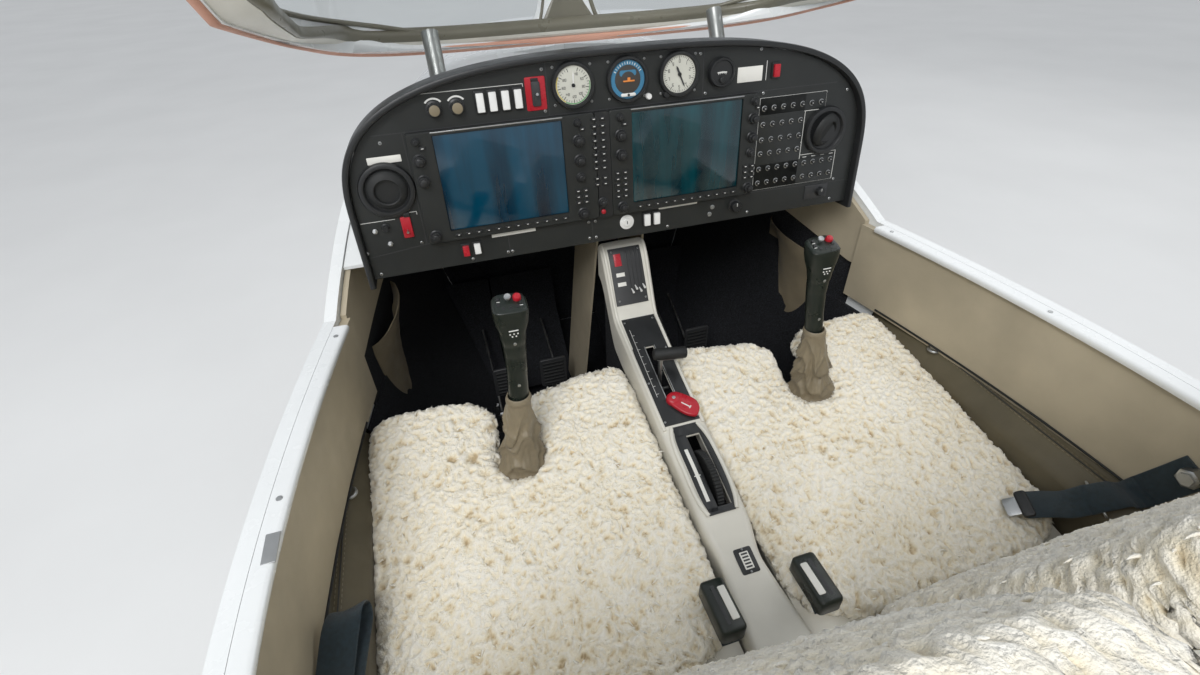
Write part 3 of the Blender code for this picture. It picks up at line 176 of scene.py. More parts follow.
def make_paints():
    paints = {}

    def new(name, *args, **kinds):
        paints[name] = Paint(name, *args, **kinds)
        return paints[name]

    def grained(name, colour, rough, grain=900, depth=0.0002, low=0.9, high=1.08, **kinds):
        made = new(name, colour, rough, **kinds)
        made.vary(9, low, high).sheen_of(40, rough - 0.06, rough + 0.08)
        return made.bump(made.noise(grain, 3.0), depth, 0.6)

    gloss = new("gelcoat", (0.83, 0.85, 0.85), 0.22, Coat_Weight=0.3)
    gloss.vary(6, 0.96, 1.02).sheen_of(25, 0.18, 0.34).bump(gloss.noise(60), 0.0002, 0.2)
    grained("cream", (0.68, 0.66, 0.59), 0.42, 700)
    grained("beige", (0.47, 0.41, 0.30), 0.55, 1200, low=0.86)
    grained("grip", (0.014, 0.019, 0.015), 0.30, 1400, 0.0001)
    grained("panel", (0.017, 0.019, 0.0185), 0.40, 2600, 0.00015, low=0.85, high=1.15)
    grained("black", (0.016, 0.017, 0.018), 0.38, 1800, 0.0001)
    grained("dark", (0.035, 0.036, 0.038), 0.5, 1500)
    grained("rubber", (0.013, 0.014, 0.014), 0.62, 1200)
    grained("white", (0.80, 0.80, 0.78), 0.35, 1500, 0.00005)
    grained("label", (0.78, 0.77, 0.72), 0.45, 500, 0.00003)
    grained("red", (0.43, 0.012, 0.024), 0.30, 1500, 0.00005)
    grained("mark", (0.75, 0.75, 0.72), 0.5, 500, 0.00002)
    grained("salmon", (0.62, 0.33, 0.24), 0.55, 800)
    grained("rail", (0.17, 0.16, 0.12), 0.32, 700, 0.0001)
    for name, colour in (("olive", (0.105, 0.088, 0.052)), ("tan", (0.225, 0.185, 0.12))):
        hide = new(name, colour, 0.5, Sheen_Weight=0.1)
        hide.vary(14, 0.8, 1.15, 6.0).sheen_of(30, 0.4, 0.62)
        hide.bump(hide.cells(620, "DISTANCE_TO_EDGE"), 0.0006, 0.5).bump(hide.noise(45, 5.0), 0.002, 0.25)
    pile = new("carpet", (0.010, 0.011, 0.014), 0.95)
    pile.vary(420, 0.3, 3.2, span=(0.42, 0.72)).bump(pile.noise(700, 6.0), 0.003, 0.8)
    metal = new("metal", (0.50, 0.51, 0.51), 0.34, 1.0)
    metal.vary(18, 0.8, 1.05).sheen_of(120, 0.26, 0.46).bump(metal.noise(900), 0.0001, 0.3)
    steel = new("arm", (0.30, 0.31, 0.30), 0.38, 0.85)
    steel.vary(22, 0.75, 1.1).sheen_of(60, 0.28, 0.5)
    wool = new("wool", (0.80, 0.72, 0.56), 0.9, Sheen_Weight=0.35, Sheen_Roughness=0.5)
    # Wool colour follows the curl height: painted shade, brown in the partings and at the base, and painted light, near
    # white on the curl tops.
    tips = wool.node("ShaderNodeAttribute", attribute_name="curl_height_shade")
    shade = wool.ramp(tips.outputs["Fac"], [
        (0.0, (0.46, 0.34, 0.19)), (0.22, (0.74, 0.62, 0.42)), (0.42, (0.91, 0.83, 0.65)), (0.70, (0.96, 0.91, 0.79)),
        (1.0, (0.97, 0.95, 0.88)),
    ])
    wool.link(shade, wool.surface.inputs["Base Color"])
    wool.bump(wool.noise(420, 6.0), 0.004, 0.7)
    strap = new("webbing", (0.012, 0.030, 0.042), 0.62, Sheen_Weight=0.2)
    strap.vary(160, 0.7, 1.3).bump(strap.bands(420, "X"), 0.0006, 0.6).bump(strap.bands(420, "Y"), 0.0006, 0.6)
    clear = new("acrylic", (0.93, 0.96, 0.96), 0.04, Transmission_Weight=1.0, IOR=1.49)
    clear.sheen_of(8, 0.02, 0.07)
    for name, deep, pale in (
        ("left_screen", (0.0, 0.008, 0.022), (0.0, 0.050, 0.095)),
        ("right_screen", (0.0, 0.006, 0.012), (0.002, 0.055, 0.070)),
    ):
        screen = new(name, deep, 0.12, Coat_Weight=0.6)
        # Paler blue streaks over the dark screen colour: a painted reflection on the glass.
        reflection_streaks = screen.noise(30, 5.0, (1.0, 0.12, 0.12))
        screen.link(screen.ramp(reflection_streaks, [(0.25, deep), (0.62, pale)]), screen.surface.inputs["Base Color"])
        screen.sheen_of(60, 0.08, 0.22)
    for name, colour in (
        ("sky", (0.05, 0.20, 0.34)), ("earth", (0.05, 0.045, 0.04)), ("orange", (0.75, 0.25, 0.05)),
        ("pale_face", (0.62, 0.62, 0.55)), ("green", (0.10, 0.35, 0.12)), ("yellow", (0.65, 0.50, 0.08)),
    ):
        grained(name, colour, 0.4, 900, 0.00002)
    return {name: paint.material for name, paint in paints.items()}


PAINTS = make_paints()


# Pieces, each gathered in one mesh of one material

PIECES = {}


def piece(name, paint, body="airframe", instead_of=(), smooth=38):
    """The mesh that collects what is drawn under this name."""
    if name not in PIECES:
        PIECES[name] = {"bm": bmesh.new(), "paint": paint, "body": body, "nodes": instead_of, "smooth": smooth}
    return PIECES[name]["bm"]


def finish_piece(name, bm, paint, body, nodes, smooth):
    bmesh.ops.transform(bm, matrix=Matrix.Translation(DATUM), verts=bm.verts)
    mesh = bpy.data.meshes.new(name)
    bm.to_mesh(mesh)
    bm.free()
    mesh.shade_smooth()
    mesh.set_sharp_from_angle(angle=radians(smooth))
    ob = bpy.data.objects.new(name, mesh)
    bpy.context.scene.collection.objects.link(ob)
    mesh.materials.append(PAINTS[paint])
    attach(ob, body)
    if nodes:
        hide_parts(*nodes)
    return ob


def ease(value):
    """From 0 to 1 with soft ends while the value goes from 0 to 1."""
    share = min(max(value, 0.0), 1.0)
    return share * share * (3 - 2 * share)


def bent(value, power):
    """A power of the value that keeps its sign."""
    return abs(value) ** power * (1 if value > 0 else -1)


def axle(x, y, z, axis="Y"):
    """A place whose height lies across the part (Y) or along it (X)."""
    return Matrix.Translation((x, y, z)) @ Matrix.Rotation(pi / 2, 4, axis)


def loft(bm, rings, caps=True):
    """A skin through rings of equal length."""
    loops = [[bm.verts.new(p) for p in ring] for ring in rings]
    count = len(loops[0])
    faces = []
    for a, b in zip(loops, loops[1:]):
        for i in range(count):
            j = (i + 1) % count
            faces.append(bm.faces.new((a[i], a[j], b[j], b[i])))
    if caps:
        faces.append(bm.faces.new(loops[0][::-1]))
        faces.append(bm.faces.new(loops[-1]))
    bmesh.ops.recalc_face_normals(bm, faces=faces)


def rect(wide, tall, radius=0.002, centre=(0.0, 0.0), turn=0.0, steps=3):
    """Outline maker for a rounded rectangle."""
    def outline(inset):
        r = max(radius - inset, 0.0001)
        points = []
        for k, (sx, sy) in enumerate(((1, 1), (-1, 1), (-1, -1), (1, -1))):
            cx, cy = sx * (wide / 2 - inset - r), sy * (tall / 2 - inset - r)
            for i in range(steps + 1):
                t = pi / 2 * (k + i / steps)
                x, y = cx + r * cos(t), cy + r * sin(t)
                points.append((centre[0] + x * cos(turn) - y * sin(turn), centre[1] + x * sin(turn) + y * cos(turn)))
        return points
    return outline


def pad(bm, outline, profile, place=PANEL):
    """A raised shape: outline at each (inset, height) of the profile, on a plane."""
    loft(bm, [[place @ Vector((x, y, h)) for x, y in outline(inset)] for inset, h in profile])


def raised(high, edge=0.0006, low=-0.0005):
    """Profile of a plate with a softened upper edge."""
    return [(0.0, low), (0.0, high - edge), (edge * 0.35, high - edge * 0.35), (edge, high)]


def plate(name, paint, wide, tall, radius, centre, high, edge=0.0006, low=-0.0005, turn=0.0, place=PANEL,
          body="airframe"):
    """A rounded rectangle with a softened edge, drawn in the piece of this name."""
    pad(piece(name, paint, body), rect(wide, tall, radius, centre, turn), raised(high, edge, low), place)


def lathe(bm, profile, place, count=32):
    """A turned shape through (radius, height) pairs."""
    turns = [2 * pi * i / count for i in range(count)]
    loft(bm, [[place @ Vector((max(r, 0.00005) * cos(t), max(r, 0.00005) * sin(t), h)) for t in turns]
              for r, h in profile])


def at(x, y, z=0.0, base=PANEL):
    return base @ Matrix.Translation((x, y, z))


def tube(bm, points, radius, count=10, flat=1.0):
    """A bar that follows points; `radius` is a number or a list of one for each point."""
    points = [Vector(p) for p in points]
    rings, side = [], None
    for i, p in enumerate(points):
        ahead = (points[min(i + 1, len(points) - 1)] - points[max(i - 1, 0)]).normalized()
        if side is None:
            side = ahead.orthogonal().normalized()
        side = (side - ahead * side.dot(ahead)).normalized()
        up = ahead.cross(side)
        r = radius[i] if isinstance(radius, (list, tuple)) else radius
        turns = [2 * pi * k / count for k in range(count)]
        rings.append([p + side * r * cos(t) + up * r * flat * sin(t) for t in turns])
    loft(bm, rings)


def curve(points, count):
    """Points of a smooth line through `points` (Catmull-Rom)."""
    pts = [Vector(p) for p in points]
    pts = [pts[0] * 2 - pts[1]] + pts + [pts[-1] * 2 - pts[-2]]
    out = []
    for k in range(count):
        s = k / (count - 1) * (len(pts) - 3)
        i = min(int(s), len(pts) - 4)
        t = s - i
        a, b, c, d = pts[i:i + 4]
        out.append(0.5 * (2 * b + (c - a) * t + (2 * a - 5 * b + 4 * c - d) * t * t + (3 * b - a - 3 * c + d) * t ** 3))
    return out


def sheet(bm, front, back, keep=None):
    """A closed sheet between two grids of points of the same size; `keep` says which cells are there."""
    tall, wide = len(front), len(front[0])
    cells = {(i, j) for i in range(tall - 1) for j in range(wide - 1) if keep is None or keep(i, j)}
    made = {}

    def vert(layer, i, j):
        if (layer, i, j) not in made:
            made[layer, i, j] = bm.verts.new((front, back)[layer][i][j])
        return made[layer, i, j]

    faces = []
    for i, j in cells:
        corners = ((i, j), (i, j + 1), (i + 1, j + 1), (i + 1, j))
        for layer in (0, 1):
            faces.append(bm.faces.new([vert(layer, *c) for c in corners]))
        beyond = ((i - 1, j), (i, j + 1), (i + 1, j), (i, j - 1))
        for cell, a, b in zip(beyond, corners, corners[1:] + corners[:1]):
            if cell not in cells:
                faces.append(bm.faces.new((vert(0, *b), vert(0, *a), vert(1, *a), vert(1, *b))))
    bmesh.ops.recalc_face_normals(bm, faces=faces)


# Instrument panel

PANEL_HALF, PANEL_TOP, PANEL_SHOULDER, PANEL_LOW = 0.478, 0.170, -0.047, -0.150
LIP_THICK, LIP_AHEAD, LIP_AFT = 0.010, 0.045, 0.014
PANEL_POWER = 3.0
RIM_FOOT = -0.162
DISPLAY_FACE = 0.012


def panel_edge(grow, count=97):
    points = []
    for i in range(count):
        t = pi * (1 - i / (count - 1))
        c, s = cos(t), sin(t)
        x = (PANEL_HALF + grow) * bent(c, 2 / PANEL_POWER)
        points.append((x, PANEL_SHOULDER + (PANEL_TOP + grow - PANEL_SHOULDER) * abs(s) ** (2 / PANEL_POWER)))
    low = PANEL_LOW - grow
    return [(-PANEL_HALF - grow, low)] + points + [(PANEL_HALF + grow, low)]


def make_panel():
    bm = piece("panel_board", "panel", instead_of=("panel_face",))
    pad(bm, lambda inset: panel_edge(-inset), [(0.0, -0.006), (0.0, -0.0008), (0.0008, 0.0)])
    lip = piece("panel_rim", "black", instead_of=("panel_lip",))
    inner, outer = panel_edge(0.0003), panel_edge(LIP_THICK + 0.0003)
    section = ((0.0, LIP_AFT - 0.003), (0.12, LIP_AFT - 0.0006), (0.3, LIP_AFT), (0.7, LIP_AFT),
               (0.9, LIP_AFT - 0.0010),
               (1.0, LIP_AFT - 0.004), (1.0, -LIP_AHEAD), (0.0, -LIP_AHEAD))
    rings = []
    for (ax, ay), (bx, by) in zip(inner, outer):
        rings.append([PANEL @ Vector((ax + (bx - ax) * f, ay + (by - ay) * f, h)) for f, h in section])
    for end in (0, -1):
        rings[end] = [PANEL @ Vector((p.x, RIM_FOOT, h)) for p, (_, h) in zip(rings[end], section)]
    loft(lip, rings)


def fluted(x, v, radius, levels, count, every, depth, place=PANEL):
    """A knob through (share of its radius, height) pairs, fluted above the skirt."""
    rings = []
    for scale, h in levels:
        ring = []
        for k in range(count):
            r = radius * scale * (1 - depth if k % every == 0 and scale < 1 else 1)
            t = 2 * pi * k / count
            ring.append(at(x, v, 0, place) @ Vector((r * cos(t), r * sin(t), h)))
        rings.append(ring)
    loft(piece("knobs", "black"), rings)


def knob(x, v, radius, high, marks=True):
    """A fluted knob with a skirt."""
    fluted(x, v, radius, ((1.12, 0.0), (1.12, 0.002), (0.92, 0.003), (0.90, high - 0.001), (0.82, high)), 36, 3, 0.07)
    if marks:
        plate("marks", "mark", 0.0012, radius * 0.6, 0.0003, (x, v + radius * 0.42), high + 0.0003, 0.0002,
              high - 0.001)


def turned(x, v, radius, high, place):
    """A knob of two stages on a bezel."""
    levels = ((1.1, 0.0), (1.1, 0.0012), (0.98, 0.0022), (0.94, high * 0.62), (0.86, high * 0.68), (0.62, high * 0.7),
              (0.60, high), (0.5, high + 0.0006))
    fluted(x, v, radius, levels, 30, 2, 0.05, place)


def rocker(x, v, paint, wide, tall):
    """A rocker switch in its black frame."""
    plate("rocker_frames", "black", wide + 0.005, tall + 0.006, 0.002, (x, v), 0.0035)
    bm = piece("rockers_" + paint, paint)
    outline = rect(wide, tall, 0.0012, steps=2)
    place = at(x, v)
    rings = []
    for inset, h in ((0.0, 0.003), (0.0, 0.006), (0.0008, 0.0068)):
        rings.append([place @ Vector((a, b, h + 0.0022 * (b / tall * 2) ** 2 * (1 if h > 0.003 else 0)))
                      for a, b in outline(inset)])
    loft(bm, rings)


def screw(x, v, radius=0.0028, place=PANEL, lift=0.0):
    lathe(piece("screws", "metal"), [(radius, -0.0004 + lift), (radius, 0.0005 + lift),
                                     (radius * 0.75, 0.0011 + lift), (0, 0.0012 + lift)], at(x, v, 0, place), 14)
    # Dark cross on each screw head: painted shade of its slots.
    bm = piece("screw_slot_shade", "dark")
    for turn in (0.6, 0.6 + pi / 2):
        pad(bm, rect(radius * 1.1, radius * 0.24, 0.0001, (x, v), turn), raised(0.0014 + lift, 0.0001, lift), place)


def line(points, wide=0.0009, name="lines", paint="mark", low=-0.0002, high=0.0003):
    """A painted line on the panel, or the dark seam between two of its plates."""
    for (x0, v0), (x1, v1) in zip(points, points[1:]):
        length = sqrt((x1 - x0) ** 2 + (v1 - v0) ** 2)
        turn = atan2(v1 - v0, x1 - x0)
        middle = ((x0 + x1) / 2, (v0 + v1) / 2)
        pad(piece(name, paint), rect(length + wide, wide, 0.0002, middle, turn, 1), [(0, low), (0, high)])


GLASS_W, GLASS_H = 0.2112, 0.1584
DISPLAYS = {"left": (-0.2277, -0.374, -0.065), "right": (0.1077, -0.039, 0.247)}
# Pairs of small keys: x, height of the first row, pitch, rows, half the distance between the two
KEY_COLUMNS = (
    (-0.0955, -0.0425, 0.0106, 3, 0.0072), (-0.0205, -0.0205, 0.0107, 5, 0.0072),
    (0.2355, -0.0425, 0.0106, 3, 0.0072),
    (-0.0592, 0.0758, 0.0118, 8, 0.0075), (-0.0588, -0.0250, 0.0105, 2, 0.0075),
)
KNOB_COLUMN = ((0.0733, 0.0062), (0.0440, 0.0095), (0.0108, 0.0095), (-0.0840, 0.0095))


def make_display(side):
    centre, left, right = DISPLAYS[side]
    middle = (left + right) / 2
    bm = piece(side + "_bezel", "panel", instead_of=(side + "_display",))
    body = rect(right - left, 0.184, 0.005, (middle, -0.006))
    window = rect(GLASS_W + 0.004, GLASS_H + 0.004, 0.003, (centre, 0.0))
    # The front has a window: outline and window are joined by a strip at each level
    outer = [body(0.0), body(0.0), body(0.0012)]
    inner = [window(0.0012), window(0.0), window(0.0)]
    rings = [[PANEL @ Vector((x, y, h)) for x, y in ring] for ring, h in (
        (outer[0], 0.0003), (outer[1], 0.0108), (outer[2], 0.012), (inner[0], 0.012), (inner[1], 0.0108),
        (inner[2], 0.009))]
    loft(bm, rings + [[PANEL @ Vector((x, y, 0.009)) for x, y in window(0.06)]])
    plate(side + "_screen_glass", side + "_screen", GLASS_W, GLASS_H, 0.002, (centre, 0.0), 0.0098, 0.0003, 0.0085)
    for k in range(12):
        x = centre - GLASS_W / 2 + 0.012 + k * (GLASS_W - 0.020) / 11
        soft_key(x, -0.0878)
    plate("brows", "metal", GLASS_W + 0.004, 0.0022, 0.0008, (centre, GLASS_H / 2 + 0.0048), 0.0126, 0.0004, 0.0115)


def soft_key(x, v):
    plate("keys", "black", 0.0105, 0.0048, 0.0016, (x, v), 0.0142, 0.0006, 0.0115)
    plate("marks", "mark", 0.0030, 0.0012, 0.0004, (x, v), 0.0144, 0.0001, 0.0135)


def make_controls():
    up = at(0, 0, DISPLAY_FACE)
    for x in (-0.3595, -0.0957, -0.0200, 0.2360):
        for v, r in KNOB_COLUMN:
            turned(x, v, r, 0.014 if r > 0.008 else 0.010, up)
        small_key(x + 0.008, 0.0622, up)
    for x, v, pitch, rows, apart in KEY_COLUMNS:
        for row in range(rows):
            for dx in (-apart, apart):
                small_key(x + dx, v - pitch * row, up)
    for x, v, r, high in ((-0.0955, -0.0185, 0.0080, 0.010), (0.2360, -0.0175, 0.0080, 0.010),
                          (-0.0578, -0.0695, 0.0085, 0.012)):
        turned(x, v, r, high, up)
    lathe(piece("rockers_red", "red"), [(0.0042, 0), (0.0042, 0.003), (0.003, 0.004), (0, 0.0042)],
          at(-0.0577, -0.0868, 0, up), 18)


def small_key(x, v, place):
    plate("keys", "black", 0.0098, 0.0066, 0.0014, (x, v), 0.0020, place=place)
    plate("marks", "mark", 0.0040, 0.0013, 0.0003, (x, v), 0.0022, 0.0001, 0.0015, place=place)


# Round instruments

DIAL_R, DIAL_Z, FACE_Z = 0.036, 0.1305, 0.0062
FACE = ((0.0295, -0.0004), (0.0295, 0.0), (0, 0.0))
DIALS = (("airspeed_dial", -0.096), ("attitude_dial", -0.002), ("altimeter", 0.091))
DIGITS = {
    "0": "abcdef", "1": "bc", "2": "abged", "3": "abgcd", "4": "fgbc", "5": "afgcd", "6": "afgedc", "7": "abc",
    "8": "abcdefg", "9": "abfgcd",
}
SEGMENTS = {
    "a": ((-1, 2), (1, 2)), "b": ((1, 2), (1, 0)), "c": ((1, 0), (1, -2)), "d": ((-1, -2), (1, -2)),
    "e": ((-1, -2), (-1, 0)), "f": ((-1, 0), (-1, 2)), "g": ((-1, 0), (1, 0)),
}


def number(text, x, v, tall, place, paint="mark", name="dial_numbers"):
    bm = piece(name, paint)
    unit = tall / 4
    for k, letter in enumerate(text):
        cx = x + (k - (len(text) - 1) / 2) * unit * 3.2
        for part in DIGITS[letter]:
            (x0, y0), (x1, y1) = SEGMENTS[part]
            mx, my = cx + (x0 + x1) / 2 * unit, v + (y0 + y1) / 2 * unit
            wide = unit * (2.4 if y0 == y1 else 0.5)
            high = unit * (0.5 if y0 == y1 else 2.4)
            pad(bm, rect(wide, high, unit * 0.2, (mx, my), 0.0, 1), [(0, -0.0003), (0, 0.0003)], place)


def tick(bm, angle, near, far, wide, place):
    middle = (near + far) / 2
    x, y = sin(angle) * middle, cos(angle) * middle
    pad(bm, rect(wide, far - near, 0.0001, (x, y), -angle, 1), [(0, -0.0003), (0, 0.0003)], place)


def arc(bm, start, end, near, far, place, steps=16):
    """A painted band from one angle to another, clockwise from the top."""
    rings = []
    for k in range(steps + 1):
        t = start + (end - start) * k / steps
        d = Vector((sin(t), cos(t), 0))
        rings.append([place @ (d * r + Vector((0, 0, h)))
                      for r, h in ((near, -0.0003), (far, -0.0003), (far, 0.0002), (near, 0.0002))])
    loft(bm, rings)


def needle(bm, angle, length, wide, place, lift=0.0012):
    d, s = Vector((sin(angle), cos(angle), 0)), Vector((cos(angle), -sin(angle), 0))
    s *= wide / 2
    neck, tail = d * length * 0.7, d * length * -0.2
    points = [d * length, s + neck, s + tail, tail - s, neck - s]
    loft(bm, [[place @ (p + Vector((0, 0, h))) for p in points] for h in (lift, lift + 0.0004)])


def make_dials():
    for name, x in DIALS:
        body = piece(name + "_case", "black", instead_of=(name,))
        place = at(x, DIAL_Z)
        lathe(body, [(DIAL_R, 0.0003), (DIAL_R, 0.0085), (DIAL_R - 0.0012, 0.010), (DIAL_R - 0.0045, 0.0102),
                     (DIAL_R - 0.0052, 0.0095),
                     (DIAL_R - 0.0062, 0.0058), (0, 0.0058)], place, 56)
        for k in range(4):
            t = pi / 4 + pi / 2 * k
            screw(x + 0.0445 * cos(t), DIAL_Z + 0.0405 * sin(t), 0.0024)
    place = at(-0.096, DIAL_Z, FACE_Z)
    lathe(piece("airspeed_face", "pale_face"), FACE, place, 48)
    ticks = piece("dial_ticks_dark", "dark")
    for k in range(33):
        angle = radians(20 + 320 * k / 32)
        tick(ticks, angle, 0.0235 if k % 4 else 0.0215, 0.0270, 0.0006 if k % 4 else 0.0010, place)
    arc(piece("green_arc", "green"), radians(80), radians(210), 0.0274, 0.0288, place, 30)
    arc(piece("yellow_arc", "yellow"), radians(210), radians(300), 0.0274, 0.0288, place, 24)
    for k in range(8):
        angle = radians(20 + 40 * k)
        number(str(40 + 20 * k), sin(angle) * 0.0175, cos(angle) * 0.0175, 0.0036, place, "dark", "dial_numbers_dark")
    needle(piece("dial_needles", "white"), radians(2), 0.022, 0.0022, place)
    lathe(piece("dial_hubs", "black"), [(0.003, 0), (0.003, 0.002), (0, 0.0022)], place, 16)

    place = at(-0.002, DIAL_Z, FACE_Z)
    lathe(piece("attitude_ring", "sky"), FACE, place, 48)
    lathe(piece("attitude_ball", "earth"), [(0.0225, -0.0003), (0.0222, 0.0006), (0.012, 0.0022), (0, 0.0027)], place,
          40)
    pad(piece("attitude_sky", "sky"), rect(0.030, 0.010, 0.004, (0, 0.010)), [(0, 0.0004), (0.0006, 0.0021)], place)
    for k in range(13):
        tick(piece("dial_ticks", "mark"), radians(-60 + 10 * k), 0.0235, 0.0275, 0.0008 if k % 3 else 0.0012, place)
    plate("attitude_wings", "orange", 0.0200, 0.0024, 0.0009, (0.001, -0.0020), 0.0038, 0.0003, 0.002, place=place)
    plate("attitude_wings", "orange", 0.0050, 0.0060, 0.0009, (0.001, 0.0005), 0.0036, 0.0003, 0.002, place=place)
    plate("slip_tube", "mark", 0.026, 0.0050, 0.0022, (0.0, -0.0235), 0.0030, 0.0006, 0.0, place=place)
    lathe(piece("dial_hubs", "black"), [(0.0021, 0.0025), (0.0021, 0.0036), (0, 0.0040)], at(0.0, -0.0235, 0, place),
          14)

    place = at(0.091, DIAL_Z, FACE_Z)
    lathe(piece("altimeter_face", "pale_face"), FACE, place, 48)
    for k in range(50):
        tick(ticks, radians(7.2 * k), 0.0255 if k % 5 else 0.0235, 0.0282, 0.0005 if k % 5 else 0.0010, place)
    for k in range(10):
        angle = radians(36 * k)
        number(str(k), sin(angle) * 0.0200, cos(angle) * 0.0200, 0.0045, place, "dark", "dial_numbers_dark")
    needle(piece("dial_needles_dark", "dark"), radians(155), 0.024, 0.0026, place)
    needle(piece("dial_needles_dark", "dark"), radians(-25), 0.015, 0.0034, place, 0.0018)
    lathe(piece("dial_hubs", "black"), [(0.003, 0), (0.003, 0.0028), (0, 0.003)], place, 16)

    place = at(0.170, 0.1265)
    lathe(piece("compass_case", "black", instead_of=("compass_dial",)),
          [(0.024, 0.0003), (0.024, 0.010), (0.0225, 0.012), (0.0200, 0.012), (0.0190, 0.0095), (0, 0.0095)], place,
          44)
    bm = piece("compass_card", "mark")
    for k in range(9):
        tick(bm, radians(-24 + 6 * k), 0.0165 + 0.001 * (k % 2), 0.0205, 0.0007, at(0.170, 0.1080, 0.0098))
    pad(bm, rect(0.018, 0.0018, 0.0006, (0.0, 0.0)), raised(0.0102, 0.0002, 0.009), place)
    lathe(piece("knobs", "black"), [(0.005, 0.009), (0.005, 0.013), (0.004, 0.014), (0, 0.0142)], at(0.170, 0.1145),
          20)
    for x, v, r, paint in ((0.0359, 0.1004, 0.0050, "white"), (0.0677, 0.1003, 0.0055, "black")):
        lathe(piece("small_knobs_" + paint, paint), [(r, 0.0), (r, 0.006), (r * 0.85, 0.008), (0, 0.0082)], at(x, v),
              24)


def make_vents():
    for side, x, aim in (("left", -0.420, (0.0, -0.10)), ("right", 0.402, (0.35, -0.25))):
        v = 0.002
        place = at(x, v)
        ring = piece(side + "_vent_ring", "black", instead_of=(side + "_vent",))
        lathe(ring, [(0.045, 0.0003), (0.045, 0.004), (0.0435, 0.0075), (0.040, 0.009), (0.0365, 0.0085),
                     (0.0345, 0.006), (0.0335, 0.0035), (0.001, 0.0035)], place, 56)
        turn = Matrix.Rotation(aim[0], 4, "Y") @ Matrix.Rotation(-aim[1], 4, "X")
        ball = place @ Matrix.Translation((0, 0, 0.002)) @ turn
        profile = [(0.0330 * cos(radians(a)), 0.0330 * sin(radians(a)) * 0.42) for a in range(0, 46, 5)]
        profile += [(0.0215, 0.0105), (0.0200, 0.0095), (0.0190, 0.0045), (0.0, 0.0040)]
        lathe(piece(side + "_vent_ball", "rubber"), profile, ball, 48)


BREAKER_X, BREAKER_PITCH = 0.2648, 0.0201
BREAKER_ROWS = ((0.0560, 7), (0.0272, 5), (-0.0008, 5), (-0.0265, 5), (-0.0562, 9), (-0.0832, 9))
FRAMES = (
    ((0.2553, 0.0740), (0.3955, 0.0740), (0.3955, 0.0425), (0.2553, 0.0425), (0.2553, 0.0740)),
    ((0.2553, 0.0425), (0.2553, -0.0965), (0.3540, -0.0965), (0.3540, 0.0425)),
    ((0.2553, -0.0400), (0.3360, -0.0400), (0.3360, -0.0150), (0.3540, -0.0150)),
    ((0.3540, -0.0400), (0.4355, -0.0400), (0.4355, -0.0965), (0.3540, -0.0965)),
)


def make_breakers():
    bm = piece("breaker_plate", "panel", instead_of=("breaker_panel",))
    for wide, tall, x, v in ((0.0960, 0.1705, 0.3035, -0.0112), (0.1400, 0.0300, 0.3255, 0.0590),
                             (0.1790, 0.0490, 0.3450, -0.0720)):
        pad(bm, rect(wide, tall, 0.002, (x, v)), raised(0.0009, 0.0003, 0.0001))
    for v, count in BREAKER_ROWS:
        for k in range(count):
            x = BREAKER_X + BREAKER_PITCH * k
            lathe(piece("breaker_collars", "metal"), [(0.0052, 0.0), (0.0052, 0.0010), (0.0043, 0.0014),
                                                      (0.0040, 0.0006), (0.0, 0.0006)], at(x, v, 0.0004), 18)
            high = 0.0052 if (k * 7 + int(v * 1000)) % 5 else 0.0044
            lathe(piece("breakers", "black"), [(0.0036, 0.0008), (0.0036, high - 0.0006), (0.0029, high), (0, high)],
                  at(x, v), 16)
            plate("marks", "mark", 0.0026, 0.0010, 0.0002, (x, v), high + 0.0002, 0.0001, high - 0.0002)
            pad(piece("marks", "mark"), rect(0.0085, 0.0011, 0.0002, (x, v + 0.0112)), [(0, -0.0002), (0, 0.0007)])
    for points in FRAMES:
        line(points, 0.0010)


def toggle(x, v, lean, high):
    lathe(piece("screws", "metal"), [(0.0046, 0.0), (0.0046, 0.0016), (0.0030, 0.0024), (0.0022, 0.0024),
                                     (0, 0.0024)], at(x, v), 6)
    p = at(x, v)
    tip = Vector((0, sin(lean) * high, cos(lean) * high))
    tube(piece("screws", "metal"), [p @ Vector((0, 0, 0.001)), p @ (tip * 0.6), p @ tip], [0.0011, 0.0015, 0.0022],
         10)


# Switches on the panel: x, height above the centre, paint, width, height
ROCKERS = (
    (-0.2490, 0.1190, "white", 0.0118, 0.0285), (-0.2290, 0.1190, "white", 0.0118, 0.0285),
    (-0.2085, 0.1190, "white", 0.0118, 0.0285), (-0.1880, 0.1190, "white", 0.0118, 0.0285),
    (0.2800, 0.1195, "red", 0.0115, 0.0210), (-0.3142, -0.1225, "red", 0.0110, 0.0190),
    (-0.2940, -0.1215, "white", 0.0110, 0.0190), (0.0306, -0.1200, "white", 0.0120, 0.0220),
    (0.0503, -0.1200, "white", 0.0120, 0.0220),
)
TOGGLES = (
    (-0.1580, 0.1210, 0.2, 0.014), (-0.4559, -0.0641, 0.3, 0.012), (-0.4370, -0.0893, 0.3, 0.012),
    (-0.4035, -0.0680, -0.2, 0.012),
)
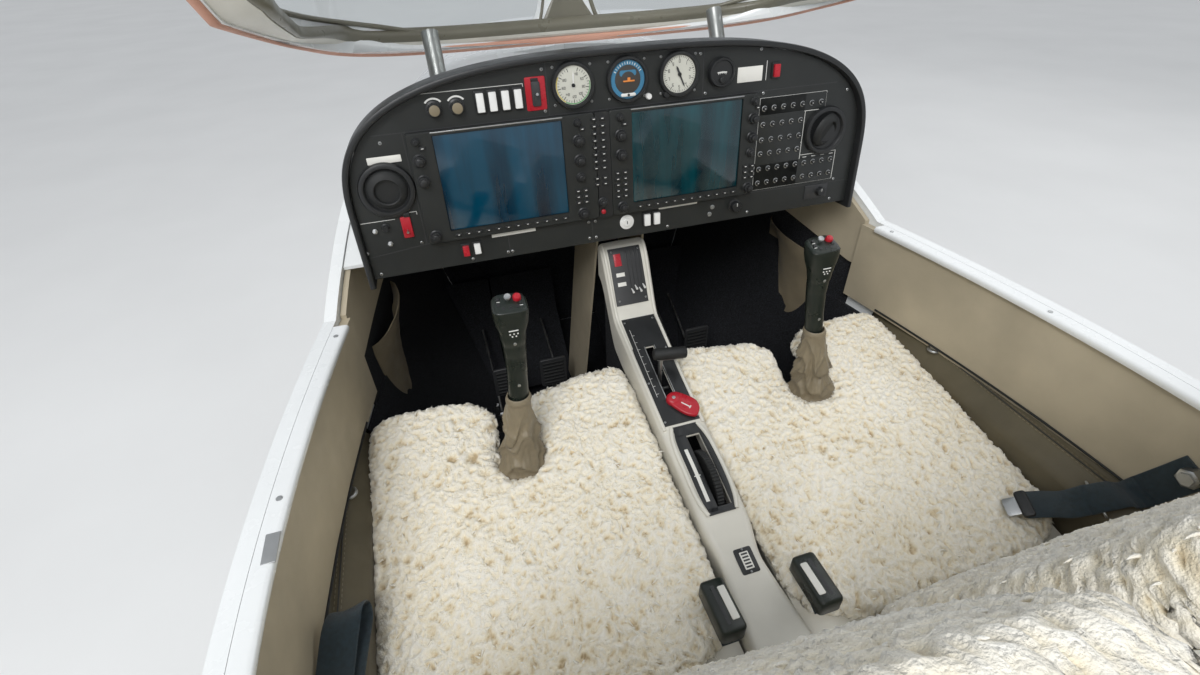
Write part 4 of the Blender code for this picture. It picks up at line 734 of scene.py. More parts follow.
# Plates: piece, paint, width, height, corner, centre, thickness, softened edge, lower face
PLATES = (
    ("guard_plate", "red", 0.0335, 0.0510, 0.0025, (-0.1580, 0.1230), 0.0016, 0.0006, -0.0005),
    ("guard_inset", "dark", 0.014, 0.038, 0.003, (-0.1580, 0.1230), 0.0050, 0.001, 0.001),
    ("guard_hinges", "black", 0.012, 0.005, 0.0008, (-0.1590, 0.1440), 0.0040, 0.0006, -0.0005),
    ("blank_plates", "label", 0.0525, 0.0110, 0.001, (-0.4130, 0.0498), 0.0012, 0.0003, -0.0005),
    ("blank_plates", "label", 0.0490, 0.0250, 0.001, (0.2295, 0.1173), 0.0010, 0.0003, -0.0005),
    ("blank_plates", "label", 0.0800, 0.0085, 0.001, (-0.2252, -0.1035), 0.0010, 0.0003, -0.0005),
    ("blank_plates", "label", 0.0800, 0.0070, 0.001, (0.0960, -0.1015), 0.0010, 0.0003, -0.0005),
    ("guard_plate", "red", 0.0165, 0.0370, 0.002, (-0.4035, -0.0640), 0.0040, 0.001, -0.0005),
    ("guard_hinges", "black", 0.010, 0.008, 0.001, (-0.4000, -0.0420), 0.0055, 0.0006, -0.0005),
)
LINES = (
    (0.0008, (-0.345, 0.1400), (-0.178, 0.1400)), (0.0008, (-0.178, 0.1400), (-0.178, 0.1360)),
    (0.0010, (0.2620, 0.1360), (0.2620, 0.1050)), (0.0008, (-0.4750, -0.0480), (-0.4200, -0.0480)),
    (0.0008, (-0.4080, -0.0400), (-0.3830, -0.0400), (-0.3830, -0.0450)),
)
SCREWS = (
    (-0.4130, 0.0755), (-0.4780, -0.1010), (-0.3860, -0.0960), (-0.4650, -0.1420), (-0.3050, -0.1420),
    (-0.2400, -0.1400),
    (-0.2320, -0.1400), (-0.0840, -0.1400), (-0.0840, -0.1080), (-0.0710, -0.1080), (-0.0710, -0.1400),
    (0.0750, -0.1420),
    (0.2480, -0.1400), (0.4400, -0.1400), (0.4420, -0.0990), (0.4400, 0.0720), (0.2600, 0.0830), (-0.1450, 0.0950),
    (-0.1450, 0.1580), (0.1440, 0.0940), (0.1320, 0.1580), (0.2480, 0.1560),
)
SEAMS = (
    ((-0.424, 0.0872), (0.414, 0.0872)), ((-0.1385, 0.166), (-0.1385, 0.0872)), ((0.1385, 0.166), (0.1385, 0.0872)),
    ((-0.3778, 0.0872), (-0.3778, -0.1003)), ((-0.484, -0.1105), (-0.3778, -0.1003), (0.2500, -0.1003)),
    ((0.2500, 0.0872), (0.2500, -0.1003), (0.4740, -0.1050)), ((-0.2362, -0.1003), (-0.2362, -0.1495)),
    ((-0.0775, -0.1003), (-0.0775, -0.1495)),
)


def make_switches():
    for x in (-0.3213, -0.2859):
        knob(x, 0.1160, 0.0115, 0.014, False)
        lathe(piece("knob_caps", "tan"), [(0.0082, 0.012), (0.0082, 0.0146), (0.0070, 0.0152), (0, 0.0152)],
              at(x, 0.1160), 24)
        arc(piece("knob_scales", "mark"), radians(-50), radians(50), 0.0145, 0.0172, at(x, 0.1160, 0.0004), 14)
    for row in ROCKERS:
        rocker(*row)
    for row in PLATES:
        plate(*row)
    for row in TOGGLES:
        toggle(*row)
    for wide, *points in LINES:
        line(points, wide)
    knob(-0.4379, -0.0598, 0.0060, 0.009, False)
    lathe(piece("key_switch", "white"), [(0.0140, 0.0), (0.0140, 0.0012), (0.0128, 0.0018), (0.0080, 0.0018),
                                         (0.0078, 0.0034), (0.0068, 0.0042), (0, 0.0042)], at(-0.0092, -0.1195), 36)
    # Dark bar on the key switch: painted shade of its keyhole.
    plate("seams_and_keyhole_shade", "dark", 0.0016, 0.0060, 0.0004, (-0.0092, -0.1195), 0.0046, 0.0002, 0.003)
    for x, v in ((0.1691, -0.1173), (0.1636, -0.1310)):
        lathe(piece("screws", "metal"), [(0.0044, 0.0), (0.0044, 0.002), (0.0034, 0.0026), (0.0020, 0.0026),
                                         (0.0018, 0.0010), (0, 0.0010)], at(x, v), 20)
    knob(0.2170, -0.1210, 0.0110, 0.014)
    plate("knob_plates", "dark", 0.0530, 0.0290, 0.002, (0.4030, -0.1195), 0.0020)
    knob(0.4100, -0.1190, 0.0095, 0.012)
    for x, v in SCREWS:
        screw(x, v)
    for points in SEAMS:
        line(points, 0.0013, "seams_and_keyhole_shade", "dark", -0.0003, 0.00025)


# Fuselage form, as in the part's source

WALL = 0.020
SILL_Z, BELLY_Z = -0.20, -0.8437
BROW_Y, BROW_Z, BROW_SLOPE = 0.32, 0.036, 0.654
BEND_Y = BROW_Y - (BROW_Z - SILL_Z) / BROW_SLOPE
HULL_AFT, HULL_FRONT = -0.98, 0.64
WIDE_Z = -0.30


def half_width(y):
    return 0.640 - 0.07 * (max(y + 0.60, 0.0) / 0.60) ** 1.7


def top(y):
    if y >= BROW_Y:
        return BROW_Z + (0.115 - BROW_Z) * ease((y - BROW_Y) / 0.13)
    run = max(y + 0.75, 0.0) / (BROW_Y + 0.75)
    return BROW_Z + (0.60 - BROW_Z) * (1 - run**2) ** 0.8


def upper_power(y):
    return 2.6 + 0.8 * min(max((y - 0.05) / 0.40, 0.0), 1.0)


def keel(y):
    return -0.875 + 0.12 * (max(y - 0.2, 0.0) / 0.44) ** 2


def plane_z(y):
    return BROW_Z + (y - BROW_Y) * BROW_SLOPE


def part_line(y):
    return min(max(SILL_Z, plane_z(y)), top(y))


def skin(y, z, inset=0.0):
    """Half width of the body at a station and height, `inset` inside its skin."""
    if z >= WIDE_Z:
        share, power = (z - WIDE_Z) / (top(y) - inset - WIDE_Z), upper_power(y)
    else:
        share, power = (WIDE_Z - z) / (WIDE_Z - keel(y) - inset), 2.8
    return (half_width(y) - inset) * max(1 - min(share, 1.0) ** power, 0.0) ** (1 / power)


def side_curve(y, z_from, count, inset):
    """Points down the right side from a height to the centre line of the belly."""
    points = []
    upper = count // 3
    power = upper_power(y)
    rise = top(y) - inset - WIDE_Z
    turn = asin(min((z_from - WIDE_Z) / rise, 1.0) ** (power / 2))
    for i in range(upper):
        t = turn * (1 - i / upper)
        x = (half_width(y) - inset) * max(cos(t), 0.0) ** (2 / power)
        points.append((max(x, 0.0002), y, WIDE_Z + rise * sin(t) ** (2 / power)))
    for i in range(count - upper):
        t = pi / 2 * i / (count - upper - 1)
        x = (half_width(y) - inset) * max(cos(t), 0.0) ** (2 / 2.8)
        z = WIDE_Z - (WIDE_Z - keel(y) - inset) * sin(t) ** (2 / 2.8)
        points.append((max(x, 0.0002), y, max(z, max(keel(y), BELLY_Z) + inset)))
    return points


def both(rows, sign):
    """The rows of the right side, or their mirror image."""
    return [[(sign * x, y, z) for x, y, z in row] for row in rows]


def wall_sheet(bm, sign, ys, low, high, near, far, count=12):
    """A lining against the side wall between two heights, each a function of y."""
    grids = []
    for inset in (near, far):
        rows = []
        for y in ys:
            heights = np.linspace(low(y), high(y), count)
            rows.append([(max(skin(y, z, inset), 0.02), y, z) for z in heights])
        grids.append(both(rows, sign))
    sheet(bm, *grids)


def make_hull():
    stations = [*np.linspace(HULL_AFT, BEND_Y, 34)[:-1], *np.linspace(BEND_Y, BROW_Y, 24)[:-1]]
    stations += [*np.linspace(BROW_Y, HULL_FRONT, 18)]
    for side, sign in SIDES:
        outer = [side_curve(y, part_line(y), 54, 0.0) for y in stations]
        inner = [side_curve(y, min(part_line(y), top(y) - WALL), 54, WALL) for y in stations]
        bm = piece(side + "_hull", "gelcoat", instead_of=(side + "_fuselage_shell",), smooth=30)
        sheet(bm, both(outer, sign), both(inner, sign))
        # Carpet on the footwell's wall, a gusset pocket over it and trim up to the panel
        carpet = piece("footwell_lining", "carpet")
        ys = np.linspace(-0.022, 0.600, 26)
        wall_sheet(carpet, sign, ys, lambda y: max(-0.784, keel(y) + 0.06), lambda y: -0.31 + 0.22 * max(y, 0),
                   WALL + 0.004, WALL + 0.0012)
        trim = piece("forward_trim", "beige")
        wall_sheet(trim, sign, np.linspace(-0.022, 0.34, 20), lambda y: -0.312 + 0.22 * max(y, 0),
                   lambda y: part_line(y) - 0.016,
                   WALL + 0.015 - 0.004, WALL + 0.0012)
        # Sill along the fuselage's edge
        edge = ((0.0206, -0.212), (0.0206, -0.2003), (0.0380, -0.2003), (0.0425, -0.2012), (0.0446, -0.2035),
                (0.0450, -0.2070), (0.0435, -0.212))
        rings = []
        for y in np.linspace(HULL_AFT + 0.002, -0.060, 44):
            rings.append([(sign * skin(y, -0.206, inset), y, z) for inset, z in edge])
        loft(piece("sills", "gelcoat", instead_of=("left_sill", "right_sill")), rings)
        for y in (-0.90, -0.42, -0.09):
            lathe(piece("screws", "metal"), [(0.0040, 0.0), (0.0040, 0.0008), (0.0025, 0.0014), (0, 0.0010)],
                  Matrix.Translation((sign * skin(y, -0.2, 0.032), y, -0.2003)), 16)
    plate("sill_mark", "metal", 0.016, 0.040, 0.001, (0, 0), 0.0007, 0.0003,
          place=Matrix.Translation((-skin(-0.42, -0.2, 0.0325), -0.49, -0.2003)))
    make_footwell()


def make_footwell():
    """Toe boards, the centre column under the panel and the soft pockets on the walls."""
    dark = piece("toe_board", "carpet")
    for sign in (-1, 1):
        for x0, x1 in ((0.060, 0.250), (0.255, 0.440)):
            rings = []
            for y, z in ((0.330, -0.779), (0.420, -0.730), (0.520, -0.640), (0.560, -0.520)):
                edge = min(x1, skin(y, z - 0.008, WALL + 0.004))
                rings.append([(sign * x0, y, z), (sign * edge, y, z), (sign * edge, y + 0.006, z - 0.008),
                              (sign * x0, y + 0.006, z - 0.008)])
            loft(dark, rings)
    mat = piece("belly_carpet", "carpet")
    for sign in (-1, 1):
        ys = np.linspace(0.300, 0.600, 20)
        front, back = [both([side_curve(y, WIDE_Z, 45, inset)[23:] for y in ys], sign)
                       for inset in (WALL + 0.0045, WALL + 0.001)]
        sheet(mat, front, back)
    cover = piece("firewall_carpet", "carpet")
    front, back = [], []
    for z in np.linspace(-0.800, 0.060, 30):
        width = skin(0.605, z, WALL + 0.004)
        front.append([(x, 0.6040, z) for x in np.linspace(-width, width, 24)])
        back.append([(x, 0.6065, z) for x in np.linspace(-width, width, 24)])
    sheet(cover, front, back)
    column = piece("centre_column", "beige")
    for sign in (-1, 1):
        face = []
        for k in range(14):
            r = k / 13
            y, z = 0.052 + 0.10 * r, -0.160 - 0.56 * r
            face.append([(sign * (0.050 + 0.030 * r), y + 0.16 * s, z - 0.010 * s) for s in np.linspace(0, 1, 6)])
        back = [[(x - sign * 0.004, y + 0.001, z) for x, y, z in row] for row in face]
        sheet(column, face, back)
    for sign in (-1, 1):
        bm = piece("pockets", "tan")
        rows, back = [], []
        for i in range(26):
            r = i / 25
            y = 0.055 + 0.190 * r
            high, low = -0.335 + 0.035 * r, -0.350 - 0.170 * sin(pi * min(r * 1.25, 1.0)) ** 0.7 - 0.02 * (1 - r)
            row, rear = [], []
            for j in range(16):
                s = j / 15
                z = low + (high - low) * s
                puff = 0.034 * sin(pi * r) ** 0.6 * s**1.4 + 0.003 * noise.noise(Vector((y * 30, z * 30, sign)))
                x = skin(y, z, WALL + 0.0085) - puff
                row.append((sign * x, y, z))
                rear.append((sign * (x + 0.0025), y, z))
            rows.append(row)
            back.append(rear)
        sheet(bm, rows, back)


LEDGE_IN, LEDGE_Z, LEDGE_FRONT = 0.550, -0.392, -0.100
LEDGE_SECTION = (
    (0.0120, -0.120), (0.0010, -0.120), (0.0, -0.116), (0.0, -0.090), (0.0003, -0.060), (0.0006, -0.036),
    (0.0022, -0.0285),
    (0.0085, -0.0215), (0.0170, -0.0130), (0.0255, -0.0045), (0.0305, -0.0012), (0.0380, 0.0),
)


def make_ledges():
    """Padded leather ledges with a welt, a stitched crease and piping along the wall."""
    for side, sign in SIDES:
        bm = piece(side + "_ledge_pad", "olive", instead_of=(side + "_ledge",), smooth=60)
        rings = []
        for y in np.linspace(-0.955, LEDGE_FRONT, 120):
            close = min((LEDGE_FRONT - y) / 0.020, 1.0)
            shrink = 0.012 * (1 - sqrt(max(1 - (1 - close) ** 2, 0)))
            wall = skin(y, LEDGE_Z, WALL + 0.0015)
            ring = []
            for k, (x, z) in enumerate(LEDGE_SECTION):
                p = Vector((LEDGE_IN + x, y, LEDGE_Z + z))
                soft = 0.0016 * noise.noise(p * 16) + 0.0007 * noise.noise(p * 60)
                p.x += soft if k > 3 else 0
                p.z -= shrink * (1 if z > -0.05 else 0)
                ring.append(p)
            for s in np.linspace(0.15, 1.0, 9):
                x = LEDGE_IN + 0.038 + (wall - LEDGE_IN - 0.038) * s
                p = Vector((x, y, LEDGE_Z))
                if s < 1:
                    p.z += 0.0016 * noise.noise(p * 18) + 0.0006 * noise.noise(p * 70)
                p.z += 0.018 * s * s - 0.0016 - shrink
                ring.append(p)
            ring += [Vector((wall, y, LEDGE_Z - 0.029)), Vector((LEDGE_IN + 0.012, y, LEDGE_Z - 0.0295))]
            rings.append([(sign * p.x, p.y, p.z) for p in ring])
        loft(bm, rings)
        ys = np.linspace(-0.95, LEDGE_FRONT - 0.012, 60)
        bead = [(sign * (skin(y, LEDGE_Z, WALL + 0.0175)), y, LEDGE_Z + 0.0075) for y in ys]
        tube(piece("ledge_piping", "rubber", smooth=60), bead, 0.0022, 8)
        crease = [(sign * (LEDGE_IN + 0.0345), y, LEDGE_Z + 0.0002) for y in ys]
        tube(piece("ledge_crease", "dark", smooth=60), crease, 0.0009, 6)
        stitches = piece("ledge_stitches", "tan")
        for y in np.arange(-0.94, LEDGE_FRONT - 0.02, 0.0085):
            for x in (0.0305, 0.0395):
                high = LEDGE_Z - 0.0004 if x > 0.035 else LEDGE_Z - 0.0016
                across = sign * (LEDGE_IN + x)
                tube(stitches, [(across, y, high), (across, y + 0.0024, high + 0.0008), (across, y + 0.0048, high)],
                     0.0005, 5)
        eye = Matrix.Translation((sign * 0.578, -0.265, LEDGE_Z + 0.0002))
        lathe(piece("eyelets", "metal", smooth=60), [(0.0130, -0.001), (0.0130, 0.0022), (0.0108, 0.0036),
                                                     (0.0080, 0.0030), (0.0070, 0.0014), (0, 0.0014)], eye, 36)
        # Dark disc inside the eyelet: painted shade of its hole.
        lathe(piece("eyelet_hole_shade", "dark"), [(0.0050, 0.0), (0.0050, 0.0008), (0, 0.0008)], eye, 20)


# Fleece


def distance_inside(x, y, outline):
    """How far each grid point lies inside a polygon; less than zero is outside."""
    best = np.full(x.shape, 1e9)
    inside = np.zeros(x.shape, bool)
    for (x0, y0), (x1, y1) in zip(outline, outline[1:] + outline[:1]):
        dx, dy = x1 - x0, y1 - y0
        t = np.clip(((x - x0) * dx + (y - y0) * dy) / (dx * dx + dy * dy), 0, 1)
        best = np.minimum(best, np.hypot(x - x0 - t * dx, y - y0 - t * dy))
        if y0 != y1:
            inside ^= ((y0 > y) != (y1 > y)) & (x < dx * (y - y0) / dy + x0)
    return np.where(inside, best, -best)


CURL, DROOP = 0.0105, 0.9


def wool_at(p):
    """Height of the wool's curls at a place, from 0 in the partings to 1 on the curls."""
    warp = noise.noise_vector(p * 34) * 0.008 + noise.noise_vector(p * 95) * 0.0025
    q = p + warp
    lock = 1 - abs(noise.noise(q * 70)) * 1.8
    curl = 1 - abs(noise.noise(q * 170 + Vector((3, 1, 4)))) * 1.7
    fuzz = noise.noise(p * 330)
    return min(max(0.46 * lock + 0.40 * curl + 0.14 * fuzz, 0.0), 1.0)


def add_lock(bm, layer, place, root, lean, length, width, tone, bend):
    """One tapered, curved lock of wool with its tip turned over."""
    sides, levels = 4, 4
    across = Vector((-lean.y, lean.x, 0)).normalized()
    rings = []
    for k in range(levels):
        r = k / (levels - 1)
        centre = root + lean * length * (r + 0.25 * r * r) + across * bend * length * r * r
        centre.z += length * (0.75 * r - 0.60 * r * r)
        size = width * (1 - r) ** 0.6 + 0.0003
        ring = []
        for i in range(sides):
            t = 2 * pi * i / sides
            v = bm.verts.new(place @ (centre + across * size * cos(t) + Vector((0, 0, size * 0.8 * sin(t)))))
            # Painted light: each lock is paler towards its tip and on its upper side, with painted shade on its
            # underside.
            v[layer] = min(max(tone + 0.28 * r + 0.10 * sin(t), 0.0), 1.0)
            ring.append(v)
        rings.append(ring)
    for a, b in zip(rings, rings[1:]):
        for i in range(sides):
            bm.faces.new((a[i], a[(i + 1) % sides], b[(i + 1) % sides], b[i]))
    bm.faces.new(rings[0][::-1])
    bm.faces.new(rings[-1])


def fleece(side, name, outline, place, thick, crown, seed, step, locks, hang=9.0):
    """Sheepskin over a pad: a sheet with curls rolled down to its base, and locks of wool on it.

    Beyond `hang` along the pad it droops over the edge.
    """
    corners = np.array(outline)
    low, high = corners.min(0) - 0.01, corners.max(0) + 0.01
    x, y = np.meshgrid(np.arange(low[0], high[0], step), np.arange(low[1], high[1], step))
    reach = distance_inside(x, y, outline)
    shift = Vector((seed * 13.7, seed * 5.1, 0))
    roll = min(thick * 0.6, 0.028)
    bm = bmesh.new()
    layer = bm.verts.layers.float.new("curl_height_shade")
    grid = {}

    def base_at(py):
        return 0.0003 - max(py - hang, 0.0) * DROOP

    def height(px, py, inside):
        p = Vector((px, py, 0)) + shift
        share = min(max(inside, 0.0) / roll, 1.0)
        lift = sqrt(max(1 - (1 - share) ** 2, 0.0))
        hills = 0.0045 * noise.noise(p * 7) + 0.0030 * noise.noise(p * 17)
        droop = max(py - hang, 0.0) * DROOP
        return (thick - 0.010 + crown * min(max(inside, 0) / 0.12, 1.0) ** 0.7 + hills) * lift - droop, lift

    for i, j in np.argwhere(reach > -0.005):
        px, py = float(x[i, j]), float(y[i, j])
        p = Vector((px, py, 0)) + shift
        d = reach[i, j] + 0.0045 * noise.noise(p * 50) + 0.0025 * noise.noise(p * 140)
        if d >= 0:
            grid[int(i), int(j)] = bm.verts.new((px, py, height(px, py, d)[0]))
    for (i, j), v in grid.items():
        corners = [grid.get(k) for k in ((i, j), (i, j + 1), (i + 1, j + 1), (i + 1, j))]
        if None not in corners:
            bm.faces.new(corners)
    bmesh.ops.delete(bm, geom=[v for v in bm.verts if not v.link_faces], context="VERTS")
    made = bmesh.ops.extrude_edge_only(bm, edges=[e for e in bm.edges if e.is_boundary])["geom"]
    rim = {v for v in made if isinstance(v, bmesh.types.BMVert)}
    for v in rim:
        v.co.z = base_at(v.co.y)
    bmesh.ops.holes_fill(bm, edges=[e for e in made if isinstance(e, bmesh.types.BMEdge)], sides=0)
    bmesh.ops.recalc_face_normals(bm, faces=bm.faces)
    floor = {e for v in rim for e in v.link_edges if e.other_vert(v) in rim}
    for _ in range(3):
        steep = [e for e in bm.edges if e not in floor and e.calc_length() > step * 2.2]
        if steep:
            bmesh.ops.subdivide_edges(bm, edges=steep, cuts=1, use_grid_fill=True)
    bm.normal_update()
    moved = []
    for v in bm.verts:
        # Painted shade: the base along the rim is darkened, and elsewhere the colour value rises with the curl height,
        # painted shade in the partings and painted light on the curls.
        if v in rim:
            v[layer] = 0.2
            continue
        p = v.co + shift
        curl_height_shade = wool_at(p)
        v[layer] = min(max(0.05 + 0.95 * curl_height_shade + 0.16 * noise.noise(p * 9), 0.0), 1.0)
        moved.append((v, v.co + v.normal * CURL * curl_height_shade + noise.noise_vector(p * 80) * 0.0012))
    for v, to in moved:
        v.co = to
    for v in bm.verts:
        v.co = place @ Vector((v.co.x, v.co.y, max(v.co.z, base_at(v.co.y))))
    rng = np.random.default_rng(seed)
    spread = sqrt((high[0] - low[0]) * (high[1] - low[1]) / (locks * 1.25))
    for cx in np.arange(low[0], high[0], spread):
        for cy in np.arange(low[1], high[1], spread):
            px, py = cx + spread * rng.uniform(-0.5, 0.5), cy + spread * rng.uniform(-0.5, 0.5)
            inside = float(distance_inside(np.array([px]), np.array([py]), outline)[0])
            if inside < 0.0:
                continue
            p = Vector((px, py, 0)) + shift
            base, lift = height(px, py, inside)
            flow = noise.noise_vector(p * 26)
            lean = Vector((flow.x + 0.35 * rng.uniform(-1, 1), flow.y + 0.35 * rng.uniform(-1, 1), 0)).normalized()
            p.z += base
            root = Vector((px, py, base + CURL * wool_at(p) * min(1, 0.3 + lift) - 0.0030))
            length = float(rng.uniform(0.0050, 0.0095))
            add_lock(bm, layer, place, root, lean, length, float(rng.uniform(0.0014, 0.0024)),
                     float(rng.uniform(0.45, 0.72)),
                     float(rng.uniform(-0.6, 0.6)))
    bmesh.ops.recalc_face_normals(bm, faces=bm.faces)
    ob = finish_piece(side + "_" + name + "_pile", bm, "wool", "airframe", (side + "_" + name + "_fleece",), 180)


SEAT_IN, SEAT_OUT, SEAT_FRONT, SEAT_AFT = 0.0515, 0.545, -0.110, -0.660
SEAT_AFT_Z, SEAT_FRONT_Z, SEAT_FRONT_Y = -0.505, -0.420, -0.14
SEAT_SLOPE = atan2(SEAT_FRONT_Z - SEAT_AFT_Z, SEAT_FRONT_Y - SEAT_AFT)
NOTCH_IN, NOTCH_OUT, NOTCH_AFT = 0.252, 0.338, -0.292
BACK_LEAN, BACK_TOP = 0.38, 0.13


def rounded(points, count, share=0.2):
    """A closed loop of points with its corners cut this many times."""
    for _ in range(count):
        cut = []
        for a, b in zip(points, points[1:] + points[:1]):
            cut += [tuple(p * (1 - s) + q * s for p, q in zip(a, b)) for s in (share, 1 - share)]
        points = cut
    return points


def make_fleeces():
    stretch = 1 / cos(SEAT_SLOPE)
    lean = atan2(BACK_LEAN, 1.0)
    foot = SEAT_AFT_Z - 0.012
    up, out = Vector((0, -sin(lean), cos(lean))), Vector((0, cos(lean), sin(lean)))
    for side, sign in SIDES:
        plan = [
            (SEAT_IN, SEAT_FRONT + 0.016), (0.090, SEAT_FRONT + 0.028), (0.160, SEAT_FRONT + 0.006),
            (0.240, SEAT_FRONT - 0.006),
            (NOTCH_IN + 0.016, -0.150), (NOTCH_IN + 0.004, -0.215), (NOTCH_IN, NOTCH_AFT + 0.03), (0.268, NOTCH_AFT),
            (0.322, NOTCH_AFT),
            (NOTCH_OUT, NOTCH_AFT + 0.03), (NOTCH_OUT - 0.004, -0.215), (NOTCH_OUT - 0.016, -0.150),
            (0.350, SEAT_FRONT - 0.004),
            (0.430, SEAT_FRONT + 0.018), (0.520, SEAT_FRONT + 0.014), (SEAT_OUT + 0.006, SEAT_FRONT - 0.010),
            (SEAT_OUT + 0.006, -0.40),
            (SEAT_OUT + 0.005, SEAT_AFT), (SEAT_IN, SEAT_AFT), (SEAT_IN + 0.001, -0.40),
        ]
        outline = rounded([(sign * x, (y - SEAT_AFT) * stretch) for x, y in plan], 2)
        place = Matrix.Translation((0, SEAT_AFT, SEAT_AFT_Z + 0.0003)) @ Matrix.Rotation(SEAT_SLOPE, 4, "X")
        fleece(side, "seat", outline, place, 0.034, 0.003, 1 if sign < 0 else 2, 0.0024, 1500,
               (SEAT_FRONT - SEAT_AFT) * stretch)
        place = Matrix(((1, 0, 0, 0), (0, up.y, out.y, 0), (0, up.z, out.z, 0), (0, 0, 0, 1)))
        place = Matrix.Translation((0, SEAT_AFT - 0.060 + 0.0125, foot)) @ place
        low, tall = 0.058, (BACK_TOP - foot) / cos(lean)
        back = [
            (SEAT_IN, low), (SEAT_OUT, low), (SEAT_OUT, tall - 0.12), (SEAT_OUT - 0.03, tall - 0.03),
            (SEAT_OUT - 0.09, tall),
            (SEAT_IN + 0.09, tall), (SEAT_IN + 0.03, tall - 0.03), (SEAT_IN, tall - 0.12),
        ]
        outline = rounded([(sign * x, s) for x, s in back], 2)
        fleece(side, "back", outline, place, 0.064, 0.010, 3 if sign < 0 else 4, 0.0034, 1300)


# Console

CONSOLE = (
    (0.055, -0.190, 0.050), (0.029, -0.200, 0.050), (-0.040, -0.318, 0.048), (-0.188, -0.363, 0.045),
    (-0.300, -0.394, 0.044),
    (-0.385, -0.412, 0.044), (-0.480, -0.440, 0.042), (-0.530, -0.462, 0.034), (-0.600, -0.474, 0.044),
    (-0.690, -0.471, 0.050),
)
LEVER_SLOT = (-0.240, -0.120, -0.0085, 0.0085)
WHEEL_WELL = (-0.451, -0.319, -0.0045, 0.0205)
CONSOLE_YS = sorted({round(float(y), 5) for y in np.linspace(-0.690, 0.055, 84)} | {*LEVER_SLOT[:2], *WHEEL_WELL[:2]})


def profile(y, column):
    """Height (1) or half width (2) of the console at a station, its bends softened."""
    ys = [row[0] for row in CONSOLE][::-1]
    values = [row[column] for row in CONSOLE][::-1]
    blur = 0.013
    return float(np.mean(np.interp(np.linspace(y - blur, y + blur, 9), ys, values)))


class Along:
    """Places on the console: x across, y along, z up from its top; used like a matrix."""

    def __matmul__(self, p):
        rise = (profile(p.y + 0.004, 1) - profile(p.y - 0.004, 1)) / 0.008
        up = Vector((0.0, -rise, 1.0)).normalized()
        return Vector((p.x, p.y, profile(p.y, 1))) + up * p.z


def on_console(x, y):
    """A flat place that touches the console's top."""
    rise = (profile(y + 0.004, 1) - profile(y - 0.004, 1)) / 0.008
    return Matrix.Translation((x, y, profile(y, 1))) @ Matrix.Rotation(atan2(rise, 1.0), 4, "X")


def runner(bm, y0, y1, left, right, high, low=-0.0012, edge=0.0010, count=24):
    """A plate along the console between two sides, each a number or a function of y."""
    rings = []
    for y in np.linspace(y0, y1, count):
        a = left(y) if callable(left) else left
        b = right(y) if callable(right) else right
        section = ((a, low), (a, high - edge), (a + edge * 0.4, high - edge * 0.3), (a + edge, high),
                   (b - edge, high), (b - edge * 0.4, high - edge * 0.3), (b, high - edge), (b, low))
        rings.append([Along() @ Vector((x, y, h)) for x, h in section])
    loft(bm, rings)


